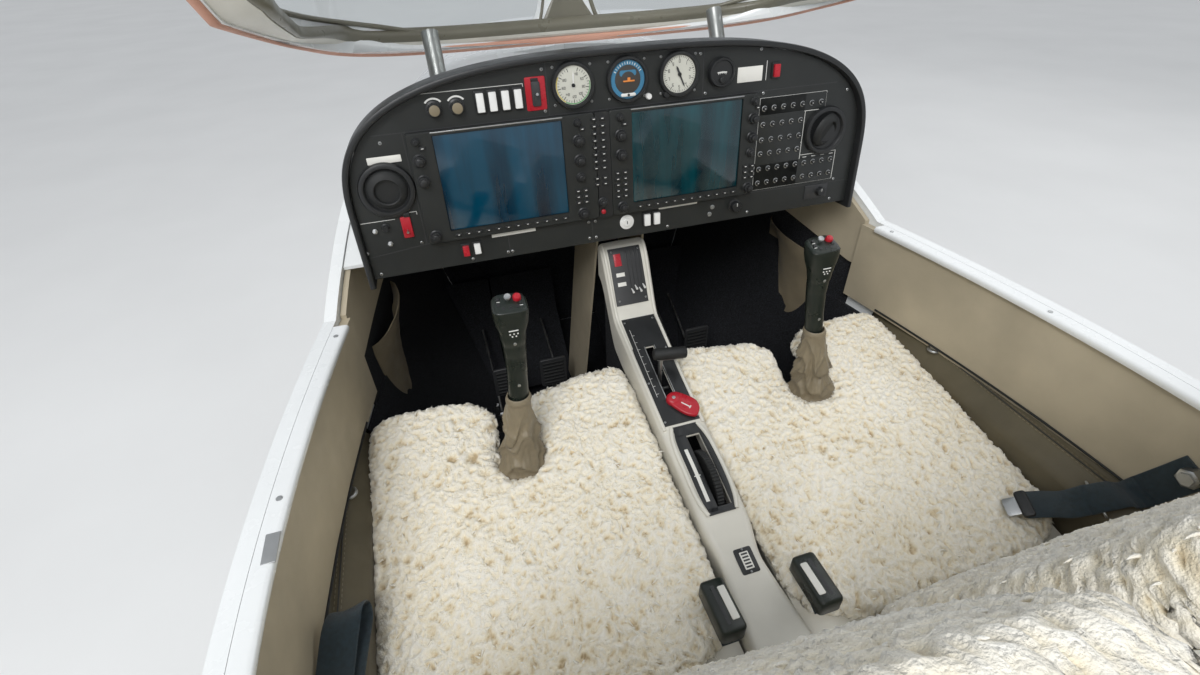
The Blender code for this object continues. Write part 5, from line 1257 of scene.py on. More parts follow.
def make_console():
    body = piece("console_body", "cream", instead_of=("console",), smooth=50)
    sides = (-0.0315, -0.024, -0.016, LEVER_SLOT[2], WHEEL_WELL[2], 0.002, LEVER_SLOT[3], 0.0145, WHEEL_WELL[3],
             0.026, 0.0315)
    grids = []
    for inset in (0.0, 0.0035):
        rows = []
        for y in CONSOLE_YS:
            half, z = profile(y, 2) - inset, profile(y, 1) - inset
            corner = 0.011
            right = [(half, z - 0.073 + inset), (half, z - 0.045), (half, z - 0.022)]
            right += [(half - corner * (1 - cos(t)), z - corner * (1 - sin(t))) for t in np.linspace(0, pi / 2, 6)]
            flat = [(min(max(x, corner - half), half - corner), z) for x in sides]
            row = [(-x, h) for x, h in right] + flat + right[::-1]
            rows.append([(x, y, h) for x, h in row])
        grids.append(rows)
    first = 9
    columns = {x: first + k for k, x in enumerate(sides)}

    def solid_cell(i, j):
        middle = (CONSOLE_YS[i] + CONSOLE_YS[i + 1]) / 2
        for y0, y1, x0, x1 in (LEVER_SLOT, WHEEL_WELL):
            if y0 < middle < y1 and columns[x0] <= j < columns[x1]:
                return False
        return True

    sheet(body, *grids, solid_cell)
    black, dark = piece("console_plates", "black", smooth=40), piece("console_insets", "dark", smooth=40)
    # Sloping upper plate with its row of levers
    runner(dark, -0.028, 0.036, lambda y: -0.036 - 0.05 * (0.03 - y) * 0.2, lambda y: 0.033, 0.0016)
    levers = piece("console_levers", "white", smooth=60)
    for k in range(4):
        x = 0.0005 + 0.0085 * k
        # Black strips under the levers: painted shade of their slots.
        runner(piece("console_slot_shade", "black"), -0.016, 0.030, x - 0.0012, x + 0.0012, 0.0021, 0.001, 0.0003)
        y = -0.012 + 0.003 * (k % 2)
        base = Along() @ Vector((x, y, 0.002))
        tip = Along() @ Vector((x, y - 0.004, 0.013))
        tube(levers, [base, base.lerp(tip, 0.5), tip], [0.0011, 0.0017, 0.0024], 10)
    runner(piece("guard_plate", "red"), 0.013, 0.027, -0.027, -0.0115, 0.0030, 0.001)
    for y in (-0.008, 0.002):
        runner(piece("blank_plates", "label"), y, y + 0.004, -0.027, -0.009, 0.0022, 0.001, 0.0003)
    for x, y in ((-0.029, 0.031), (0.028, 0.031), (-0.029, -0.023), (0.028, -0.023)):
        screw(0, 0, 0.0022, on_console(x, y), 0.0012)
    # Quadrant plate with the lever's slot
    aft, front = LEVER_SLOT[:2]
    for y0, y1, x0, x1, count in (
        (-0.292, aft, -0.036, 0.038, 12), (front, -0.048, -0.034, 0.037, 12),
        (aft - 0.0002, front + 0.0002, -0.0355, -0.0088, 24), (aft - 0.0002, front + 0.0002, 0.0088, 0.0375, 24),
    ):
        runner(black, y0, y1, x0, x1, 0.0018, count=count)
    for x in (-0.0105, 0.0105):
        runner(piece("console_trim", "metal"), aft, front, x - 0.0008, x + 0.0008, 0.0024, 0.001, 0.0003)
    runner(piece("marks", "mark"), -0.232, -0.075, -0.0262, -0.0254, 0.0021, 0.0012, 0.0002)
    for k in range(9):
        runner(piece("marks", "mark"), -0.226 + 0.017 * k, -0.2254 + 0.017 * k, -0.0254, -0.0205, 0.0021, 0.0012,
               0.0002, 3)
    for x, y in ((-0.030, -0.056), (0.031, -0.056), (-0.031, -0.200), (0.032, -0.130), (-0.031, -0.284),
                 (0.033, -0.284)):
        screw(0, 0, 0.0022, on_console(x, y), 0.0014)
    for sign in (-1, 1):
        rim = [Along() @ Vector((sign * (profile(y, 2) - 0.0065), y, 0.0004)) for y in np.linspace(-0.300, 0.045, 50)]
        tube(piece("console_rims", "cream", smooth=60), rim, 0.0036, 10)
    # Trim wheel housing: black frame round the well, the indicator on its left
    y0, y1 = -0.458, -0.302
    runner(black, y0, y1, lambda y: -0.0275 + 0.007 * abs((y + 0.38) / 0.078) ** 5, -0.0050, 0.0030)
    runner(black, y0, y1, 0.0210, lambda y: 0.0320 - 0.010 * abs((y + 0.38) / 0.078) ** 3, 0.0030)
    runner(black, -0.3185, y1 + 0.004, -0.0230, 0.0235, 0.0030, count=8)
    runner(black, y0 - 0.004, -0.4515, -0.0230, 0.0235, 0.0030, count=8)
    runner(piece("trim_scale", "label"), -0.440, -0.345, -0.0200, -0.0135, 0.0036, 0.002, 0.0004)
    runner(piece("marks", "mark"), -0.396, -0.3945, -0.0225, -0.0115, 0.0041, 0.003, 0.0002, 3)
    for sign in (-1, 1):
        rim = [Along() @ Vector((sign * (0.0345 - 0.010 * abs((y + 0.38) / 0.082) ** 4), y, 0.0012))
               for y in np.linspace(-0.461, -0.299, 30)]
        tube(piece("console_rims", "cream", smooth=60), rim, 0.0040, 10)
    # Meter
    meter = on_console(0.006, -0.5360)
    pad(black, rect(0.030, 0.040, 0.003), raised(0.0024), meter)
    plate("blank_plates", "label", 0.015, 0.027, 0.001, (0, 0), 0.0030, 0.0003, 0.001, place=meter)
    for k in range(5):
        pad(dark, rect(0.0105, 0.0026, 0.0003, (0.0, -0.010 + 0.005 * k)), raised(0.0034, 0.0001, 0.002), meter)
    for y in (-0.0175, 0.0175):
        screw(0, y, 0.0018, meter, 0.0020)


def make_lever():
    """Power lever: a blade through the slot with a round cross bar."""
    x, y, z = 0.0, -0.180, -0.36057 - 0.045
    bm = piece("lever_blade", "metal", "power_lever_body", ("power_lever",))
    pad(bm, rect(0.0055, 0.0115, 0.0015, (x, y)), [(0.0, z - 0.004), (0.0, z + 0.076), (0.0008, z + 0.078)], Matrix())
    lathe(bm, [(0.0078, -0.0028), (0.0078, 0.0028), (0.0030, 0.003), (0.0030, 0.019), (0, 0.0195)], axle(x, y, z), 28)
    bar = piece("lever_handle", "rubber", "power_lever_body", smooth=60)
    start, end = Vector((-0.014, y + 0.004, z + 0.0885)), Vector((0.050, y - 0.006, z + 0.0860))
    points = [start.lerp(end, s) for s in (0.0, 0.02, 0.06, 0.3, 0.6, 0.94, 0.98, 1.0)]
    tube(bar, points, [0.0080, 0.0103, 0.0115, 0.0118, 0.0118, 0.0115, 0.0103, 0.0080], 28)
    under = [start.lerp(end, s) + Vector((0, -0.004, -0.0095)) for s in (0.10, 0.14, 0.86, 0.90)]
    tube(piece("lever_latch", "metal", "power_lever_body", smooth=60), under, [0.0020, 0.0034, 0.0034, 0.0020], 14)


def make_wheel():
    """Trim wheel with a ribbed rim."""
    place = axle(0.008, -0.385, -0.456)
    bm = piece("trim_rim", "rubber", "trim_wheel_body", ("trim_wheel",), smooth=25)
    count = 180
    rings = []
    for r, h in ((0.030, -0.0045), (0.052, -0.0045), (0.0575, -0.0066), (0.0598, -0.0055), (0.0598, 0.0055),
                 (0.0575, 0.0066), (0.052, 0.0045), (0.030, 0.0045)):
        ring = []
        for k in range(count):
            deep = 0.0014 if k % 3 == 0 and r > 0.055 else 0.0
            t = 2 * pi * k / count
            ring.append(place @ Vector(((r - deep) * cos(t), (r - deep) * sin(t), h)))
        rings.append(ring)
    loft(bm, rings)
    lathe(piece("trim_hub", "metal", "trim_wheel_body", smooth=60),
          [(0.012, -0.006), (0.012, 0.006), (0.0029, 0.0065), (0.0029, 0.021), (0, 0.0215)], place, 32)


def make_selector():
    """Red pointer of the fuel selector on its hub."""
    place = on_console(0.0, -0.245)
    bm = piece("selector", "red", instead_of=("fuel_selector",), smooth=50)
    lathe(bm, [(0.0132, 0.0019), (0.0132, 0.0070), (0.0120, 0.0098), (0.0090, 0.0118), (0.0, 0.0120)], place, 40)
    outline = rounded([(-0.012, 0.003), (-0.010, -0.011), (0.010, -0.038), (0.029, -0.047), (0.042, -0.030),
                       (0.041, -0.012), (0.012, 0.013), (-0.002, 0.014)], 2)
    middle = Vector((0.014, -0.014, 0))

    def shrunk(inset):
        return [(x + (middle.x - x) * inset * 40, y + (middle.y - y) * inset * 40) for x, y in outline]

    pad(bm, shrunk, [(0.0, 0.0042), (0.0, 0.0078), (0.0008, 0.0094), (0.0030, 0.0104)], place)
    plate("marks", "mark", 0.0024, 0.020, 0.0008, (0.017, -0.020), 0.0108, 0.0002, 0.0098, turn=0.75, place=place)
    plate("marks", "mark", 0.0070, 0.0022, 0.0006, (0.0228, -0.0262), 0.0108, 0.0002, 0.0098, turn=0.75, place=place)
    lathe(piece("screws", "metal"), [(0.0034, 0.0118), (0.0034, 0.0128), (0.002, 0.0134), (0, 0.0130)], place, 20)


# Sticks and their boots

STICK_PATH = ((0.306, -0.300, -0.560), (0.296, -0.278, -0.416), (0.281, -0.245, -0.290), (0.275, -0.234, -0.210))
GRIP_PATH = STICK_PATH[2:] + ((0.274, -0.231, -0.165), (0.272, -0.226, -0.118))


def make_sticks():
    for side, sign in SIDES:
        body = side + "_stick_body"
        shaft = curve([(sign * x, y, z) for x, y, z in STICK_PATH], 20)
        tube(piece(side + "_shaft", "metal", body), shaft, 0.0070, 16)
        pivot = axle(sign * STICK_PATH[0][0], *STICK_PATH[0][1:], "X")
        lathe(piece(side + "_shaft", "metal", body), [(0.0115, -0.0245), (0.012, -0.023), (0.012, 0.023),
                                                      (0.0115, 0.0245)], pivot, 28)
        grip = piece(side + "_grip", "grip", body, (side + "_stick",), 50)
        line_up = curve([(sign * x, y, z) for x, y, z in GRIP_PATH], 40)
        along = np.linspace(0, 1, 40)
        widths = np.interp(along, [0, 0.04, 0.08, 0.30, 0.55, 0.72, 0.84, 0.94, 1.0],
                           [0.0150, 0.0172, 0.0165, 0.0172, 0.0190, 0.0212, 0.0260, 0.0275, 0.0272])
        depths = np.interp(along, [0, 0.30, 0.60, 0.80, 0.94, 1.0], [0.0150, 0.0158, 0.0172, 0.0190, 0.0215, 0.0215])
        square = np.interp(along, [0, 0.5, 0.8, 1.0], [1.0, 0.90, 0.62, 0.50])
        rings = []
        for i, p in enumerate(line_up):
            ahead = (line_up[min(i + 1, 39)] - line_up[max(i - 1, 0)]).normalized()
            across = (Vector((1, 0, 0)) - ahead * ahead.x).normalized()
            fore = across.cross(ahead) * -1
            ring = []
            for k in range(40):
                t = 2 * pi * k / 40
                c, s = cos(t), sin(t)
                u, v = bent(c, square[i]), bent(s, square[i])
                grooves = 1 - 0.035 * max(0, cos(11 * pi * along[i])) * (1 if s < 0 and along[i] < 0.7 else 0)
                ring.append(p + (across * widths[i] * u + fore * depths[i] * v) * grooves)
            rings.append(ring)
        tip, ahead = line_up[-1], (line_up[-1] - line_up[-3]).normalized()
        # The head is cut on a slope that faces the pilot
        for k, (grow, lift) in enumerate(((0.99, 0.004), (0.93, 0.0068), (0.80, 0.0080))):
            rings.append([tip + (q - tip) * grow + ahead * (lift + 0.30 * (q.y - tip.y)) for q in rings[39]])
        loft(grip, rings)
        across = Vector((1, 0, 0))
        slope = Vector((0, 1, 0.42)).normalized()
        face = Matrix((across, slope, across.cross(slope))).transposed().to_4x4()
        face = Matrix.Translation(tip + ahead * 0.0078) @ face
        lathe(piece(side + "_trigger_button", "red", body),
              [(0.0066, -0.002), (0.0066, 0.0042), (0.0052, 0.0062), (0, 0.0068)],
              at(sign * 0.001 + 0.014, 0.006, 0, face), 28)
        lathe(piece(side + "_hat", "metal", body), [(0.0040, -0.001), (0.0040, 0.003), (0.0058, 0.0045),
                                                    (0.0050, 0.0060), (0, 0.0050)], at(-0.001, 0.008, 0, face), 20)
        for x, y in ((-0.016, 0.008), (-0.017, -0.002), (-0.011, -0.010), (0.000, -0.012), (0.011, -0.010),
                     (0.017, -0.004)):
            lathe(piece(side + "_stick_buttons", "black", body),
                  [(0.0030, -0.001), (0.0030, 0.0022), (0.0022, 0.0030), (0, 0.0031)], at(x, y, 0, face), 16)
            plate(side + "_stick_marks", "mark", 0.0052, 0.0010, 0.0003, (x, y - 0.0045), 0.0009, 0.0001, -0.0006,
                  place=face, body=body)
        # Blank label and two screws on the side that the pilot sees
        back = axle(*(line_up[30] - Vector((0, depths[30], 0))), "X")
        plate(side + "_stick_marks", "mark", 0.0150, 0.0012, 0.0004, (0, 0.004), 0.0012, 0.0002, -0.001, place=back,
              body=body)
        for x, y in ((-0.006, -0.002), (0.0, -0.002), (0.006, -0.002), (-0.003, -0.0065), (0.003, -0.0065)):
            plate(side + "_stick_marks", "mark", 0.0022, 0.0020, 0.0003, (x, y), 0.0012, 0.0002, -0.001, place=back,
                  body=body)
        for k in (6, 24):
            spot = axle(*(line_up[k] - Vector((0, depths[k], 0))), "X")
            lathe(piece(side + "_stick_screws", "metal", body),
                  [(0.0028, -0.002), (0.0028, 0.0004), (0.0018, 0.0010), (0, 0.0006)], spot, 16)


def make_boots():
    """A crumpled leather gaiter in two lengths, the foot and the neck."""
    for side, sign in SIDES:
        foot, belly = Vector((sign * 0.2945, -0.262, -0.455)), Vector((sign * 0.2935, -0.259, -0.395))
        neck = Vector((sign * 0.281, -0.245, -0.278))
        count, levels = 96, 84
        rings = []
        for k in range(levels):
            r = k / (levels - 1)
            centre = foot.lerp(belly, r / 0.3) if r < 0.3 else belly.lerp(neck, (r - 0.3) / 0.7)
            wide = float(np.interp(r, [0, 0.10, 0.18, 0.35, 0.60, 0.80, 0.93, 0.96, 1.0],
                                   [0.051, 0.049, 0.0395, 0.0355, 0.0310, 0.0255, 0.0205, 0.0222, 0.0195]))
            ring = []
            for i in range(count):
                t = 2 * pi * i / count
                d = Vector((cos(t), sin(t) * 0.94, 0))
                # Folds wind down round the gaiter: sharp on the ridge, round in the hollow
                wind = t * 1.0 + sign * 2.2 * r
                seat = noise.noise(Vector((cos(t) * 0.9 + 3 * sign, sin(t) * 0.9, r * 2.6)))
                ridge = 1 - abs(sin(1.5 * wind + 3.0 * seat + 4.5 * r)) ** 0.55
                second = 1 - abs(sin(1.0 * wind - 7.0 * r + 4.0 * seat)) ** 0.5
                fine = noise.noise(Vector((cos(t) * 4, sin(t) * 4, r * 12 + sign * 5)))
                amount = 0.0150 * sin(pi * min(max(r, 0.02) ** 0.8 * 1.04, 1.0)) ** 0.8
                q = centre + d * (wide + amount * (0.95 * ridge + 0.55 * second - 0.60 + 0.16 * fine))
                q.z -= 0.012 * ridge * sin(pi * r) - 0.004 * fine * sin(pi * r)
                ring.append(q)
            rings.append(ring)
        cut = int(levels * 0.12)
        for name, part, bodies, node in (
            ("_boot_foot", rings[:cut + 1], ("airframe", "torque_tube"), (side + "_stick_boot",)),
            ("_boot_neck", rings[cut:], ("torque_tube", side + "_stick_body"), ()),
        ):
            inside = [[p + (c - p).normalized() * 0.0018 for p in ring] for ring in part
                      for c in [sum(ring, Vector()) / count]]
            bm = bmesh.new()
            verts = [[bm.verts.new(p + DATUM) for p in ring] for ring in part + inside[::-1]]
            for a, b in zip(verts, verts[1:] + verts[:1]):
                for i in range(count):
                    j = (i + 1) % count
                    bm.faces.new((a[i], a[j], b[j], b[i]))
            bmesh.ops.recalc_face_normals(bm, faces=bm.faces)
            mesh = bpy.data.meshes.new(side + name)
            bm.to_mesh(mesh)
            bm.free()
            mesh.shade_smooth()
            ob = bpy.data.objects.new(side + name, mesh)
            bpy.context.scene.collection.objects.link(ob)
            mesh.materials.append(PAINTS["tan"])
            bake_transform(ob)
            if node:
                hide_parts(*node)


# Canopy, drawn shut and then raised about its hinge

CANOPY_AFT, CANOPY_WALL, CLEAR = -0.955, 0.016, 0.006
HINGE = Vector((0.0, 0.45, 0.010))
LIFTED = Matrix.Translation(HINGE) @ Matrix.Rotation(-radians(50), 4, "X") @ Matrix.Translation(-HINGE)
CANOPY_FRONT = 0.318
WINDOW_AFT, WINDOW_FRONT, CORNER_POWER = -0.865, 0.302, 0.34
RAIL_RISE = 0.058  # of the window's front edge over the parting plane
PANEL_CLEAR = 0.496  # half width that passes the panel's rim


def lifted(p, sign):
    """A point of the shut canopy's right half, on either side and raised."""
    return LIFTED @ Vector((sign * p.x, p.y, p.z))


def girth(y, inset, count=70):
    """Points up the right side of the shut canopy, from its rim to the centre line."""
    rise = top(y) - inset - WIDE_Z
    power = upper_power(y)
    turn = asin(min((part_line(y) + CLEAR - WIDE_Z) / rise, 0.9999) ** (power / 2))
    turns = np.linspace(turn, pi / 2, count)
    rim = part_line(y) + CLEAR
    return np.array([
        ((half_width(y) - inset) * max(cos(t), 0.0) ** (2 / power), max(WIDE_Z + rise * sin(t) ** (2 / power), rim))
        for t in turns
    ])


GIRTHS = {}


def canopy_point(y, share, inset):
    """A point of the shut canopy by station and share of the way from rim to centre line."""
    key = (round(y, 5), inset)
    if key not in GIRTHS:
        points = girth(y, inset)
        run = np.concatenate([[0], np.cumsum(np.hypot(*np.diff(points, axis=0).T))])
        GIRTHS[key] = (run, points)
    run, points = GIRTHS[key]
    want = share * run[-1]
    return Vector((float(np.interp(want, run, points[:, 0])), y, float(np.interp(want, run, points[:, 1]))))


def window_span(y):
    """Shares of the way from rim to centre line where the window starts and ends at a station."""
    run = girth_length(y)
    low = min(0.085 - 0.035 * ease((y + 0.45) / 0.40), run * 0.36) / run
    return low, 1 - min(0.018, run * 0.12) / run


def window_edge(count=280):
    """The right window's outline as (y, share), with rounded corners."""
    points = []
    for k in range(count):
        t = 2 * pi * (k + 0.5) / count
        c, s = cos(t), sin(t)
        u, v = bent(c, CORNER_POWER), bent(s, CORNER_POWER)
        y = (WINDOW_AFT + WINDOW_FRONT) / 2 + (WINDOW_FRONT - WINDOW_AFT) / 2 * u
        low, high = window_span(y)
        share = (low + high) / 2 + (high - low) / 2 * v
        # The front edge follows the rail, at one height over the parting plane
        while y > 0.05 and canopy_point(y, share, 0.0).z - plane_z(y) < RAIL_RISE:
            y -= 0.001
        points.append((y, share))
    return points


def girth_length(y):
    canopy_point(y, 0.0, 0.0)
    return GIRTHS[round(y, 5), 0.0][0][-1]


def frame_border(window):
    """The frame's outer border, one point for each of the window's."""
    points = []
    for y, share in window:
        u = (y + 0.2815) / 0.5835
        v = (share - 0.5) / 0.5
        scale = 1 / max(abs(u), abs(v) * 1.35, 1e-6)
        y = min(max(-0.3175 + 0.6375 * u * scale, CANOPY_AFT), CANOPY_FRONT)
        share = min(max(0.5 + 0.5 * v * 1.35 * scale, 0.0), 1.0)
        if share == 0.0 and y > 0:  # closer together where the rim turns across the nose
            y = CANOPY_FRONT * (1 - (1 - y / CANOPY_FRONT) ** 2.2)
        points.append((y, share))
    return points


def make_canopy():
    window = window_edge()
    border = frame_border(window)
    bm = piece("canopy_shell", "gelcoat", "canopy", ("canopy_frame",), 40)
    levels = 7
    shell = {}
    for sign in (1, -1):
        for layer, inset in enumerate((0.0, CANOPY_WALL)):
            for k in range(levels):
                r = k / (levels - 1)
                for i, ((wy, ws), (by, bs)) in enumerate(zip(window, border)):
                    y, share = wy + (by - wy) * r, ws + (bs - ws) * r
                    p = canopy_point(y, share, inset)
                    shell[sign, layer, k, i] = bm.verts.new(lifted(p, sign))
        count = len(window)
        for i in range(count):
            j = (i + 1) % count
            for layer in (0, 1):
                for k in range(levels - 1):
                    corners = [shell[sign, layer, a, b] for a, b in ((k, i), (k, j), (k + 1, j), (k + 1, i))]
                    bm.faces.new(corners if (layer == 0) == (sign > 0) else corners[::-1])
            at_middle = border[i][1] > 0.999 and border[j][1] > 0.999
            for k in (0,) if at_middle else (0, levels - 1):
                bm.faces.new([shell[sign, a, k, b] for a, b in ((0, i), (0, j), (1, j), (1, i))])
    bmesh.ops.remove_doubles(bm, verts=[v for v in bm.verts if abs(v.co.x) < 1e-4], dist=1e-4)
    bmesh.ops.recalc_face_normals(bm, faces=bm.faces)
    for side, sign in SIDES:
        pane = piece(side + "_pane", "acrylic", "canopy", (side + "_canopy_glass",), 60)
        grids = []
        for inset in (-0.0043, -0.0003):
            rows = []
            for y in np.linspace(-0.885, 0.305, 46):
                run = girth_length(y)
                low, high = window_span(y)
                low, high = low - min(0.012, run * 0.05) / run, high + min(0.010, run * 0.04) / run
                row = []
                for share in np.linspace(low, high, 34):
                    p = canopy_point(y, share, inset)
                    row.append(lifted(p, sign))
                rows.append(row)
            grids.append(rows)
        sheet(pane, *grids)
        # Dark ceramic border round the pane's edge
        trim = piece("window_trim", "rail", "canopy", smooth=60)
        ring = []
        for y, share in window:
            p = canopy_point(y, share, CANOPY_WALL + 0.001)
            ring.append(lifted(p, sign))
        ring_tube(trim, ring, 0.0045, 10)
    post = piece("post_lining", "rail", "canopy", smooth=60)
    grids = []
    for inset in (CANOPY_WALL + 0.0022, CANOPY_WALL - 0.002):
        rows = []
        for y in np.linspace(-0.880, 0.290, 60):
            run = girth_length(y)
            reach = min(0.020 + 0.040 * 2.718 ** ((y - 0.290) / 0.020), run * 0.45) / run
            row = []
            for s in np.linspace(-1, 1, 15):
                p = canopy_point(y, 1 - reach * abs(s), inset)
                row.append(lifted(p, 1 if s > 0 else -1))
            rows.append(row)
        grids.append(rows)
    sheet(post, *grids)
    make_flange()


def ring_tube(bm, points, radius, count):
    """A closed bar through points that end where they start."""
    total = len(points)
    loops = []
    for i, p in enumerate(points):
        ahead = (points[(i + 1) % total] - points[i - 1]).normalized()
        side = Vector((1, 0, 0)) if abs(ahead.x) < 0.8 else Vector((0, 0.6, 0.8))
        side = (side - ahead * side.dot(ahead)).normalized()
        up = ahead.cross(side)
        if i and (side - last).length > 1.0:
            side, up = last, ahead.cross(last)
        last = side
        turns = [2 * pi * k / count for k in range(count)]
        loops.append([bm.verts.new(p + side * radius * cos(t) + up * radius * sin(t)) for t in turns])
    faces = []
    for i in range(total):
        a, b = loops[i], loops[(i + 1) % total]
        shift = min(range(count), key=lambda s: (a[0].co - b[s].co).length)
        for k in range(count):
            faces.append(bm.faces.new((a[k], a[(k + 1) % count], b[(k + 1 + shift) % count], b[(k + shift) % count])))
    bmesh.ops.recalc_face_normals(bm, faces=faces)


def rim_line(count=90):
    """Plan of the canopy's rim from its right rear corner round to the left one."""
    points = [(canopy_point(y, 0.0, 0.003).x, y) for y in np.linspace(CANOPY_AFT, -0.060, 40)[:-1]]
    for i in range(count):
        y = -0.060 + (BROW_Y - 0.004 + 0.060) * (1 - (1 - i / count) ** 2.2)
        points.append((canopy_point(y, 0.0, 0.003).x, y))
    points = [p for p in points if p[0] > 0.004 or p[1] < 0]
    points.append((0.0, BROW_Y - 0.004))
    return points + [(-x, y) for x, y in points[-2::-1]]


def make_flange():
    """Flange round the canopy's foot: seal, stepped face and the rounded rail at its inner edge."""
    plan = [Vector((x, y, 0.0)) for x, y in rim_line()]
    sections = {
        ("canopy_seal", "salmon"): [(0.0035 + 0.0068 * cos(t), -0.0006 + 0.0044 * sin(t))
                                    for t in np.linspace(0, 2 * pi, 11)[:-1]],
        ("canopy_flange", "cream"): [(0.007, 0.0100), (0.007, 0.0040), (0.009, 0.0022), (0.40, 0.0022),
                                     (0.43, 0.0008), (0.80, 0.0008), (0.82, 0.0100)],
        ("canopy_rail", "rail"): [(-0.0165 + 0.0, 0.0115), (-0.0165, 0.0040), (-0.0145, 0.0012), (-0.0110, 0.0002),
                                  (-0.0050, 0.0002), (-0.0015, 0.0014),
                                  (-0.0002, 0.0045), (-0.0002, 0.0180), (-0.0020, 0.0210), (-0.0095, 0.0215),
                                  (-0.0118, 0.0195), (-0.0120, 0.0115)],
    }
    for (name, paint), section in sections.items():
        rings = []
        for i, p in enumerate(plan):
            along = plan[min(i + 1, len(plan) - 1)] - plan[max(i - 1, 0)]
            inward = Vector((-along.y, along.x, 0.0)).normalized()
            front = ease((p.y - 0.10) / 0.15)
            wide = 0.045 + 0.047 * ease((p.y + 0.22) / 0.30) - 0.058 * front
            rise = 0.034 * front
            # Where the inner edge would meet the panel on its way down, it keeps outside of it
            edge = p + inward * wide
            swing = Vector((HINGE.y - edge.y, HINGE.z - plane_z(edge.y))).length
            push = max(PANEL_CLEAR - abs(edge.x), 0.0) * ease((swing - 0.250) / 0.140) * (1 if edge.x > 0 else -1)
            ring = []
            for depth, lift in section:
                reach = wide + depth if name == "canopy_rail" else depth * (wide if depth > 0.1 else 1)
                q = p + inward * reach
                lift += rise * min(reach / wide, 1.0)
                q.x += push * min(reach / wide, 1.0)
                soft = 0.03 * min(reach / 0.09, 1.0)
                level = (SILL_Z + plane_z(q.y) + sqrt((SILL_Z - plane_z(q.y)) ** 2 + soft * soft)) / 2
                ring.append(LIFTED @ Vector((q.x, q.y, level + CLEAR + lift)))
            rings.append(ring)
        loft(piece(name, paint, "canopy", smooth=50), rings)


ARM_PATH = (
    (0.450, 0.010), (0.425, -0.020), (0.385, -0.050), (0.330, -0.066), (0.275, -0.058),
    (0.243, -0.020), (0.240, 0.030), (0.253, 0.080), (0.275, 0.125), (0.306, 0.180),
)
ARM_X = 0.297


def make_arms():
    for side, sign in SIDES:
        bm = piece(side + "_arm", "arm", "canopy", (side + "_canopy_arm",), 60)
        tube(bm, curve([(sign * ARM_X, y, z) for y, z in ARM_PATH], 60), 0.0162, 24)
        eye = axle(sign * ARM_X, HINGE.y, HINGE.z)
        lathe(bm, [(0.0066, -0.016), (0.019, -0.016), (0.020, -0.015), (0.020, 0.015), (0.019, 0.016),
                   (0.0066, 0.016), (0.0066, -0.016)], eye, 40)


# Belts, buckles and pedals

BELT_PATH = (
    (-0.075, -0.598, -0.050), (-0.050, -0.612, -0.040), (-0.028, -0.626, -0.032), (-0.010, -0.634, -0.020),
    (-0.002, -0.640, -0.010),
    (0.020, -0.650, 0.003), (0.038, -0.657, 0.0035), (0.049, -0.662, 0.014), (0.050, -0.676, 0.050),
    (0.050, -0.695, 0.100),
)
BUCKLE_X, BUCKLE_Y, BUCKLE_WIDE = 0.074, -0.605, 0.038
BUCKLE_LIFT = 0.041  # over the seat shell, on the fleece


def strap(bm, path, half, thick, edge=Vector((0, 1, 0))):
    """Webbing along a path: a flat band with rounded selvedges."""
    section = ((-1, 0.3), (-0.97, 0.75), (-0.90, 1.0), (-0.3, 0.94), (0.3, 0.94), (0.90, 1.0), (0.97, 0.75), (1, 0.3),
               (0.97, 0.0), (0.9, 0.0), (-0.9, 0.0), (-0.97, 0.0))
    rings = []
    for i, p in enumerate(path):
        along = (path[min(i + 1, len(path) - 1)] - path[max(i - 1, 0)]).normalized()
        side = (edge - along * edge.dot(along)).normalized()
        up = side.cross(along)
        up = up if up.z + abs(up.x) * 0.2 >= 0 else -up
        rings.append([p + side * half * s + up * thick * h for s, h in section])
    loft(bm, rings)


